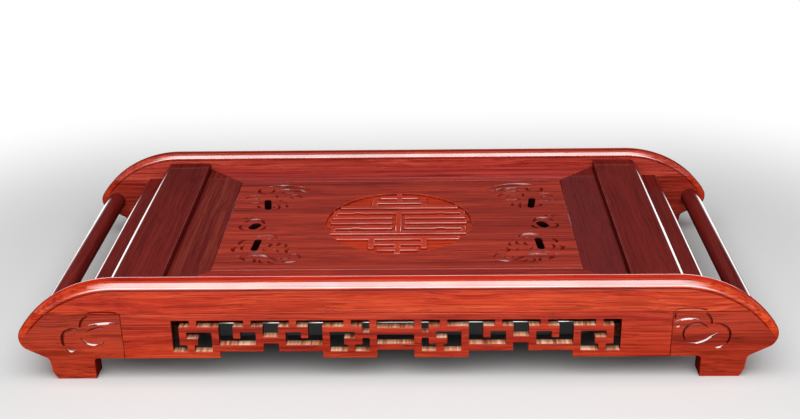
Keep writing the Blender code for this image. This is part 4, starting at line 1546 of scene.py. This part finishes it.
        # The near blocks get painted shade on walls that look towards the middle
        wood = replace(
            SIDE_WOOD,
            name=f"{word}_block_wood",
            tint=Tint[f"{word}_block".upper()],
            shift=(2.0 * end.value, 5.1 * side.value, 6.3),
            painted_inner_shade=0.85 if near else 0.0,
        )
        rub = {"coat": 0.01, "polish": 0.7, "edge_coat": 0.0, "brink": 0.09, "fade": 1.0}
        rub["tint"] = Tint.SIDE if near else Tint.FAR_EDGE
        edge = replace(wood, name=f"{word}_block_edge", back=0.8 if near else 0.2, **rub)
        gloss = replace(wood, name=f"{word}_cloud_gloss", wear=0.0, polish=0.85)
        shell.dress(f"{word}_end_block", Body.CARCASS, wood, edge, gloss)

    def build(self) -> None:
        """Make all pieces of both boards."""
        for side in Side:
            self.add_rail(side)
            self.add_fret(side)
            for end in End:
                self.add_block(side, end)


# ---------------------------------------------------------------- ends


@dataclass
class Ends:
    """Handle rods, end rails and end boards; attributes are roundings in millimetres."""

    rail_round: float = 5.0
    nose_round: float = 6.0
    lip_round: float = 1.0
    inner_round: float = 0.5
    bar_ease: float = 0.25
    rod_ease: float = 0.6

    def bar(self, node: str, radii: Sequence[float], wood: Rosewood) -> None:
        """A bar across the tray with its four long edges rounded.

        Args:
            node: CAD node whose box it fills.
            radii: roundings, from the inner lower edge round by the outer ones.
            wood: its finish.
        """
        low, high = box_mm(node)
        end = 1 if low[0] > 0 else -1
        inner, outer = sorted((abs(low[0]), abs(high[0])))
        corners = np.column_stack((rectangle(inner, outer, low[2], high[2]), radii))
        outline = (turned(corners, 8) * (end, 1))[::end]
        carry(outline, high[1], self.bar_ease).dress(node, Body.CARCASS, wood)

    def rod(self, node: str, wood: Rosewood) -> None:
        """A round rod; ring r(a) = radius (cos a, sin a), eased at its ends.

        Args:
            node: CAD node whose box it fills.
            wood: its finish.
        """
        low, high = box_mm(node)
        centre = ((low + high) / 2)[[0, 2]]
        ring = arc(centre, (high[2] - low[2]) / 2, 0, math.tau, 56)[:-1]
        carry(ring, high[1], self.rod_ease).dress(node, Body.CARCASS, wood)

    def build(self) -> None:
        """Make the pieces of both ends."""
        small, rail, lip = self.inner_round, self.rail_round, self.lip_round
        for end in End:
            far = 2.0 + end.value
            finish = {
                word: replace(DARK_WOOD, name=f"{end.word}_{word}_wood", shift=shift, crest=crest)
                for word, shift, crest in (
                    ("rod", (far, 1, 4), 0.95),
                    ("rail", (far, 6, 2), 0.965),
                    ("board", (5, far, 1), 0.972),
                )
            }
            self.rod(f"{end.word}_handle_rod", finish["rod"])
            self.bar(f"{end.word}_end_rail", (small, rail, rail, small), finish["rail"])
            radii = (small, lip, self.nose_round, lip)
            self.bar(f"{end.word}_end_board", radii, finish["board"])


# ---------------------------------------------------------------- deck

# Cuts of the carving at the right-hand end, from the middle of the panel: width,
# depth, how pointed, and the places that the gouge passes, all in millimetres
FAR_BAT = (
    (6.4, 1.8, 0.9, (127, 80), (118, 83.5), (108, 82.8), (97, 80.4), (88, 76.5), (81, 70)),
    (5.0, 1.8, 1.0, (85, 66.5), (92, 70.6), (100, 72.8), (107, 74.2), (113, 76.3)),
    (3.6, 1.7, 0.5, (131, 77), (132.5, 72), (130, 67), (125, 65)),
    (3.2, 1.5, 0.5, (122, 76.5), (118.5, 73.5), (119.5, 69.5), (123.5, 69)),
    (3.2, 1.5, 0.6, (112.5, 71), (109, 68), (104.5, 66.5), (99, 67)),
    (4.6, 1.7, 1.0, (143.5, 53), (140, 57.5), (134.5, 60.5), (127, 60.5)),
    (3.8, 1.6, 0.8, (141, 47.5), (137, 44.5), (132.5, 44), (128.6, 46)),
    (3.0, 1.4, 0.5, (136, 53.5), (132.5, 54), (129.5, 51.2)),
    (4.0, 1.6, 0.9, (103, 62.5), (97.5, 62), (93, 58.5), (90.5, 53.5)),
    (2.8, 1.4, 0.6, (107, 57.5), (102.5, 56.5), (98, 53)),
    (3.6, 1.6, 0.7, (112.5, 51.5), (108.5, 47.5), (103, 46), (97.5, 48)),
    (3.0, 1.5, 0.5, (105.5, 41), (102.5, 37.5), (103, 33)),
    (3.2, 1.6, 0.5, (113.5, 41), (110, 38), (109, 33.5), (110.5, 29.5)),
    (2.8, 1.5, 0.2, (114.3, 35.4), (114.1, 31.8)),
    (2.6, 1.4, 0.7, (114.5, 62.5), (114.2, 57.5), (113.6, 55)),
    (2.6, 1.4, 0.6, (124.5, 31.5), (128.5, 34), (129.5, 38.5)),
)
NEAR_BAT = (
    (3.8, 1.7, 0.7, (124.5, -31.5), (119, -28.4), (112, -27.6), (105.5, -30), (102, -35)),
    (2.6, 1.4, 0.6, (114.3, -36.5), (110, -34.6), (106.8, -37)),
    (3.3, 1.6, 0.5, (109.5, -41.3), (107.6, -45.5), (110, -50.2)),
    (3.0, 1.5, 0.5, (102.5, -40), (100.6, -44.5), (103.6, -48.4)),
    (2.8, 1.4, 0.5, (96.5, -43.5), (94.3, -47), (96, -50.8)),
    (3.4, 1.6, 0.6, (91.5, -54), (93.6, -58.5), (91, -63)),
    (2.8, 1.4, 0.6, (105.5, -54.5), (101.5, -57), (98.5, -61.5)),
    (3.0, 1.5, 0.6, (130.5, -36), (134.6, -39.8), (135.4, -45.5)),
    (3.8, 1.6, 0.8, (136, -50), (139.4, -54), (137.4, -59.6)),
    (2.4, 1.4, 0.5, (130.2, -47), (132.4, -52), (130.6, -57)),
    (2.8, 1.5, 0.6, (127.6, -61.5), (120, -63.2), (111.5, -61.5)),
    (2.4, 1.3, 0.4, (113.8, -53), (112.4, -56.5), (108.6, -57.6)),
    (3.8, 1.7, 0.9, (125, -67.4), (117, -66.6), (110, -68), (104, -72),
     (98.5, -76.6), (91, -79.8), (84, -78)),
    (3.0, 1.6, 0.7, (99, -70.5), (95, -73.4), (90.6, -73.4), (87.6, -70)),
    (3.0, 1.5, 0.7, (91, -66.8), (86.4, -64.6), (82, -67.6), (80, -73)),
    (4.2, 1.7, 0.9, (138.5, -67), (132, -68.6), (128.4, -73), (123.8, -78.8)),
    (3.1, 1.6, 0.3, (119.6, -72), (117.8, -75.8), (118.4, -80)),
    (2.7, 1.5, 0.5, (113.8, -74.4), (113.2, -79), (109.8, -82.2)),
    (3.0, 1.5, 0.5, (108, -76.2), (105.2, -80.4), (100.6, -81.8)),
)
CURL = (
    (3.5, 1.6, 0.6, (118.6, -3), (121.4, 3.4), (127, 6), (133, 4.6), (136.8, 0)),
    (3.1, 1.5, 0.6, (138.6, -4.4), (139.4, -9.6), (136.6, -14.2), (131.8, -15.6)),
    (2.8, 1.4, 0.6, (117, -7.4), (118, -12.6), (122, -16.2)),
    (2.6, 1.3, 0.5, (129.4, 10.4), (133.6, 11.4), (138, 8.8)),
)
# Drain slots at the right-hand end: distance in from the panel's edge, y, length, width
# in millimetres, and tilt in degrees
DRAINS = ((31.4, 39.5, 22, 5.5, -8), (31.4, -46.5, 22, 5.5, 4), (25.4, -8, 13, 8, 25))


@dataclass
class Deck:
    """The lift-out deck: carved panel with its round medallion, and mitred frame.

    Attributes are in millimetres: the boards first, then the medallion, whose strokes
    lie at multiples of pitch from its middle, are as wide as stroke, leave a gap at the
    middle line, and get painted shade as stroke_shade says low on their walls and at
    their feet. The spine runs along that line. The last three are for the bats and curls:
    how far a cut leans, how dark the painted shade on its gentle side is, and from how
    many knots on it is long.
    """

    thickness: float = 12.0
    frame_width: float = 34.5
    glue: float = 0.3
    arris: float = 0.45
    hole_arris: float = 0.5
    medallion_radius: float = 64.5
    medallion_depth: float = 2.5
    pitch: float = 11.0
    stroke: float = 5.6
    stroke_round: float = 0.55
    stroke_foot: float = 2.7
    stroke_shade: tuple[float, float] = (0.6, 0.2)
    spine: float = 2.5
    gap: float = 5.5
    cut_lean: float = 0.5
    cut_shade: float = 0.85
    long_cut: int = 5

    def plane(self) -> Plane:
        """The top face of the deck."""
        return Plane(False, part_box("deck_panel")[1][2], -1)

    def reaches(self) -> tuple[float, float]:
        """How far the frame reaches from the middle, in X and in Y."""
        low, high = box_mm("near_deck_rail")
        return high[0] + self.glue, -low[1]

    def drains(self, reach_x: float) -> list[Array]:
        """Outlines of the six drain slots.

        Args:
            reach_x: how far the panel reaches from the middle.

        Returns:
            The outlines, clockwise.
        """
        loops = []
        for end in (-1, 1):
            for inset, y, length, width, tilt in DRAINS:
                run, turn = (length - width) / 2, math.radians(end * tilt)
                halves = [
                    arc((0, way * run), width / 2, first, first + math.pi, 10)
                    for way, first in ((1, 0), (-1, math.pi))
                ]
                cos, sin = math.cos(turn), math.sin(turn)
                slot = np.vstack(halves) @ np.array(((cos, sin), (-sin, cos)))
                loops.append((slot + (end * (reach_x - inset), y))[::-1])
        return loops

    def medallion_boxes(self) -> Array:
        """Strokes of the round carving, drawn in one quarter and mirrored to all four.

        Returns:
            Rows of x low, x high, y low and y high.
        """
        half, rows = self.stroke / 2, [self.pitch * number for number in range(6)]
        leg, cut, edge = (20.0, 25.0), (33.5, 40.5), (55.0, 59.0)
        quarter = [
            (self.gap, 60.0, -half, half),
            (0, self.spine, 0, rows[2]),
            (self.gap, cut[0], rows[1] - half, rows[1] + half),
            (0, cut[0], rows[2] - half, rows[2] + half),
            (*cut, rows[1] - half, 12.5),
            (*cut, 20.5, rows[2] + half),
            (cut[1], edge[1], rows[1] - half, rows[1] + half),
            (cut[1], edge[1], rows[2] - half, rows[2] + half),
            (0, 52.9, rows[3] - half, rows[3] + half),
            (*edge, rows[1] - half, rows[2] + half),
            (*leg, rows[3], 53.5),
            (0, leg[1], rows[4] - half, rows[4] + half),
            (0, self.spine, rows[4], 64.35),
            (0, 17.25, rows[5] - half, rows[5] + half),
        ]
        return np.array([mirrored(box, x, y) for box in quarter for x in (-1, 1) for y in (-1, 1)])

    def carvings(self) -> list[Stroke]:
        """Bats, clouds and curls, the same at both ends; the long cuts are glossy.

        Returns:
            The strokes, those at the left end mirrored from those at the right.
        """
        strokes = []
        for end in End:
            for width, depth, point, *knots in FAR_BAT + NEAR_BAT + CURL:
                path = tuple((end.value * x, y) for x, y in knots)
                lean, glossy = self.cut_lean * end.value, len(knots) >= self.long_cut
                strokes.append(Stroke(path, width, depth, point, lean, self.cut_shade, glossy))
        return strokes

    def add_panel(self) -> None:
        """The panel with its drains, round recess and carvings."""
        reach_x, reach_y = (reach - self.frame_width for reach in self.reaches())
        x, y = reach_x - self.glue, reach_y - self.glue
        circle = arc((0, 0), self.medallion_radius, 0, -math.tau, 144)[:-1]
        look = {"tint": Tint.PANEL, "shift": (2, 3, 1), "polish": 0.3, "pore": 0.35}
        wood = Rosewood("panel_wood", "panel_rosewood", **look)
        worn = {"polish": 0.1, "wear": 0.9, "patch": 110.0, "coat": 0.06}
        carved = replace(wood, name="carved_wood", tint=Tint.CARVED, **worn)
        cut = replace(carved, name="cut_wood", tint=Tint.CUT, coat=0.03)
        bright = replace(cut, name="carved_gloss", polish=0.4, coat=0.05)
        # Near-black drain walls: painted shade inside the holes
        drain = replace(wood, name="drain_wood", tint=Tint.DRAIN, **MATT)
        plate = Plate(
            self.plane(),
            self.thickness,
            even_rim(rectangle(-x, x, -y, y), self.arris),
            openings=[even_rim(loop, self.hole_arris) for loop in self.drains(reach_x)],
            pockets=[Pocket(even_rim(circle, self.hole_arris), self.medallion_depth)],
            strokes=self.carvings(),
            hole_slot=3,
            hole_shade=1.0,
            floor_slot=1,
            cut_slot=4,
            gloss_slot=2,
        )
        plate.build().dress("deck_panel", Body.DECK, wood, carved, bright, drain, cut)
        self.add_strokes(replace(wood, name="stroke_wood", tint=Tint.STROKE, polish=0.7, wear=0.75))

    def add_strokes(self, wood: Rosewood) -> None:
        """The raised strokes that stand on the floor of the round recess.

        Args:
            wood: their finish.
        """
        shell, plane = Shell(), self.plane()
        tops, feet = [], []
        for loop in box_loops(self.medallion_boxes(), np.zeros((0, 4))):
            flats, deeps = even_rim(loop, self.stroke_round, 4).rows()
            depths = (self.medallion_depth * 0.7, self.stroke_foot)
            lower = [plane.place(flats[-1], depth) for depth in depths]
            # Painted shade low on the strokes' walls and at their feet
            cut = np.append(np.zeros(len(flats)), self.stroke_shade)[:, None]
            shell.rows(np.concatenate((plane.place(flats, deeps), lower)), cut=cut)
            tops.append(flats[0])
            feet.append(flats[-1])
        shell.flat(plane, tops, 0)
        shell.flat(plane, feet, self.stroke_foot)
        shell.piece("round_carving", [wood], Body.DECK, [])

    def add_frame(self) -> None:
        """Two stiles and two rails, mitred round the panel."""
        far_x, far_y = self.reaches()
        near_x, near_y = far_x - self.frame_width, far_y - self.frame_width
        gap = self.glue
        stile = [(near_x, gap - near_y), (far_x, gap - far_y), (far_x, far_y - gap)]
        stile = np.array(stile + [(near_x, near_y - gap)])
        rail = [(gap - near_x, near_y), (near_x - gap, near_y), (far_x - gap, far_y)]
        rail = np.array(rail + [(gap - far_x, far_y)])
        for end in End:
            wood = replace(
                DARK_WOOD,
                name=f"{end.word}_stile_wood",
                tint=Tint[f"{end.word}_stile".upper()],
                shift=(7 + end.value, 2, 5),
                contrast=1.0 if end is End.LEFT else 0.5,
                polish=0.2,
            )
            outline = (stile * (end.value, 1))[:: end.value]
            self.member(f"{end.word}_deck_stile", outline, wood)
        for side in Side:
            wood = Rosewood(
                f"{side.word}_deck_rail_wood",
                "frame_rosewood",
                tint=Tint[f"{side.word}_frame".upper()],
                shift=(1, 4 + side.value, 8),
                pore=0.35,
                polish=0.35 if side is Side.NEAR else 0.12,
            )
            outline = (rail * (1, side.value))[:: side.value]
            self.member(f"{side.word}_deck_rail", outline, wood)

    def member(self, node: str, outline: Array, wood: Rosewood) -> None:
        """One member of the frame.

        Args:
            node: CAD node that it stands for.
            outline: its four corners, anticlockwise.
            wood: its finish.
        """
        plate = Plate(self.plane(), self.thickness, even_rim(outline, self.arris))
        plate.build().dress(node, Body.DECK, wood)

    def build(self) -> None:
        """Make the pieces of the deck."""
        self.add_panel()
        self.add_frame()


# ---------------------------------------------------------------- pan


@dataclass
class WaterPan:
    """Folded steel pan with a flat flange; attributes are in millimetres."""

    sheet: float = 0.8
    corner: float = 12.0
    flange: float = 9.5
    flange_x: float = 13.5
    draft: float = 3.0
    fold: float = 2.0
    play: float = 0.6
    flange_round: float = 0.2

    def turns(self, base: float, rim: float) -> tuple[Array, Array]:
        """The bends of the folded section, as (distance out, height) at each point.

        A bend runs over a quarter of a circle, with points radius (1 - sin a) from
        one straight stretch and radius (1 - cos a) from the other.

        Args:
            base: height of the underside.
            rim: height of the flange's top.

        Returns:
            The two bends of the outer skin, and the two of the inner one, from the top
            down.
        """
        angles = np.linspace(0, math.pi / 2, 5)
        sine, cosine = 1 - np.sin(angles), 1 - np.cos(angles)

        def low(x: float, z: float, radius: float) -> Array:
            """The bend beside the bottom."""
            return np.column_stack((x - radius * sine, z + radius * cosine))

        def high(x: float, z: float, radius: float) -> Array:
            """The bend under the flange."""
            return np.column_stack((x + radius * cosine, z - radius * sine))

        wide = 2 * self.fold
        outer = low(-self.draft, base, self.fold), high(0, rim - self.sheet, self.fold)
        inside = low(-self.draft - self.sheet, base + self.sheet, wide)
        inner = high(-self.sheet, rim, wide * 0.6)[::-1], inside[::-1]
        return np.vstack(outer), np.vstack(inner)

    def build(self) -> None:
        """Carry the folded section round the pan.

        The section runs from the bottom up the outside, round the flange, and back down
        the inside.
        """
        low, high = box_mm("water_pan")
        reach_x, reach_y, base, rim = high[0], high[1], low[2], high[2]
        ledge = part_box("right_pan_ledge")[0][0] / MM - self.play
        body_x, body_y = min(reach_x - self.flange_x, ledge), reach_y - self.flange
        outer, inner = (
            [(body_x + out, body_y + out, self.corner + min(out, 0), z) for out, z in bends]
            for bends in self.turns(base, rim)
        )
        brim = [
            (reach_x - inset, reach_y - inset, self.corner + self.flange, rim - self.sheet * down)
            for inset, down in ((self.flange_round, 1), (0, 0.5), (self.flange_round, 0))
        ]
        places = []
        for x, y, radius, z in outer + brim + inner:
            loop = rounded_rectangle(x, y, radius, 8)
            places.append(np.column_stack((loop * MM, np.full(len(loop), z * MM))))
        stack = np.array(places)
        shell = Shell()
        shell.rows(stack[: len(outer)], 1)
        shell.rows(stack[len(outer) - 1 :], 0)
        for ring, slot in ((0, 1), (-1, 0)):
            loop = stack[ring, :, :2] / MM
            shell.flat(Plane(False, stack[ring, 0, 2], 1), [loop], 0, slot)
        bright = Steel("pan_steel", "stainless_steel")
        # The pan's outside is near-black: painted shade for the dark inside of the tray
        shaded_outside = Steel("pan_outside_shade", "stainless_steel", colour=(0.05, 0.05, 0.052), rough=0.55)
        shell.dress("water_pan", Body.PAN, bright, shaded_outside)


# ---------------------------------------------------------------- plain parts


class PlainParts:
    """Walls, ledges, battens, dowels and screws, which keep their solid shapes."""

    def build(self) -> None:
        """Give every shown CAD node its detailed finish."""
        look = {"rough": 0.6, **MATT}
        # The walls, ledges and battens are dark brown, partly painted shade for the inside of the
        # tray
        cross = Rosewood(
            "plain_cross", "plain_rosewood", Grain.ALONG_Y, Tint.PLAIN, shift=(4, 2, 1), **look
        )
        dowel = Rosewood("beech", "beech", Grain.ALONG_Z, Tint.BEECH, **look)
        screw = Steel("zinc", "screw_steel", colour=(0.55, 0.53, 0.48), rough=0.34)
        kinds = {"wall": cross, "ledge": cross, "batten": cross, "dowel": dowel, "screw": screw}
        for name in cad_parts:
            item = bpy.data.objects.get(name)
            if item is None or item.hide_render:
                continue
            chosen = [finish for word, finish in kinds.items() if word in name]
            if chosen and item.material_slots:
                item.material_slots[0].material = chosen[-1].material()


# ---------------------------------------------------------------- studio

# Soft lamps: place, target, size in metres, and power in watts
LAMPS = {
    "softbox": ((0, -0.66, 1.12), (0, -0.5, 0), (2.0, 1.56), 30),
    "front": ((0, -1.6, 0.63), (0, -0.1, 0.63), (1.8, 1.0), 14),
}


@dataclass
class Studio:
    """Camera, lamps, floor and surroundings.

    Attributes:
        focal_pixels: focal length in pixels of the photograph.
        picture_width: width of the photograph in pixels.
        yaw: turn of the view to the right, in radians.
        pitch: tilt of the view below the level.
        roll: turn of the picture about the line of sight.
        place: where the camera stands, in metres.
        floor_reach: how far the floor runs each way.
    """

    focal_pixels: float = 1207.7054842365949
    picture_width: float = 800.0
    yaw: float = -0.025903312427179685
    pitch: float = 0.4150516269707748
    roll: float = -0.017613882778606652
    place: Triple = (0.026667675978492643, -0.9734259774508561, 0.511272801635815)
    floor_reach: float = 6.0

    def add_camera(self) -> None:
        """A camera at the photograph's viewing angle."""
        cos, sin = math.cos, math.sin
        right = Vector((cos(self.yaw), -sin(self.yaw), 0))
        level = Vector((sin(self.yaw), cos(self.yaw), 0))
        ahead = cos(self.pitch) * level + Vector((0, 0, -sin(self.pitch)))
        down = -(sin(self.pitch) * level + Vector((0, 0, cos(self.pitch))))
        rolled_right = cos(self.roll) * right - sin(self.roll) * down
        rolled_down = sin(self.roll) * right + cos(self.roll) * down
        turn = Matrix((rolled_right, -rolled_down, -ahead)).transposed().to_4x4()
        data = bpy.data.cameras.new("camera")
        data.sensor_width = 36.0
        data.lens = data.sensor_width * self.focal_pixels / self.picture_width
        data.clip_start = 0.01
        item = shown("camera", data)
        item.matrix_world = Matrix.Translation(self.place) @ turn
        bpy.context.scene.camera = item

    def add_lamps(self) -> None:
        """Soft rectangular lamps, each aimed at a point."""
        for name, (place, target, size, power) in LAMPS.items():
            data = bpy.data.lights.new(name, "AREA")
            data.shape = "RECTANGLE"
            data.size, data.size_y = size
            data.energy = power
            item = shown(name, data)
            item.location = place
            aim = Vector(target) - Vector(place)
            item.rotation_euler = aim.to_track_quat("-Z", "Y").to_euler()

    def add_floor(self) -> None:
        """A wide flat floor under the feet."""
        reach = self.floor_reach
        corners = [(x, y, 0.0) for x, y in rectangle(-reach, reach, -reach, reach)]
        mesh = bpy.data.meshes.new("floor")
        mesh.from_pydata(corners, [], [(0, 1, 2, 3)])
        mesh.materials.append(Floor("floor", "floor").material())
        item = shown("floor", mesh)

    def add_world(self) -> None:
        """Surroundings: a bright backdrop low all round and a dim room over it."""
        world = bpy.data.worlds.new("studio")
        world.use_nodes = True
        nodes = Nodes(world.node_tree)
        where = nodes.add("TexCoord", {}, {}, "Generated")
        camera, glossy = nodes.rays("Camera", "Glossy")
        band = nodes.split(where)[2].step(0.28, 0.21) * (glossy * 2.6 + 0.6)
        level = (band + glossy * 0.15 + 0.03) * (1.0 - camera) + camera
        background = nodes.add("Background", {}, {"Color": nodes.grey(level)})
        nodes.add("OutputWorld", {}, {"Surface": background})
        bpy.context.scene.world = world

    def build(self) -> None:
        """Set up the whole studio."""
        self.add_camera()
        self.add_floor()
        self.add_world()
        self.add_lamps()
        bpy.context.scene.view_settings.view_transform = "Standard"


def main() -> None:
    """Build every sub-assembly in order, then the studio."""
    logging.basicConfig(level=logging.INFO, format="%(message)s")
    for part in (SideBoards(), Ends(), Deck(), WaterPan(), PlainParts(), Studio()):
        log.info("-- %s", type(part).__name__)
        part.build()


if __name__ == "__main__":
    main()
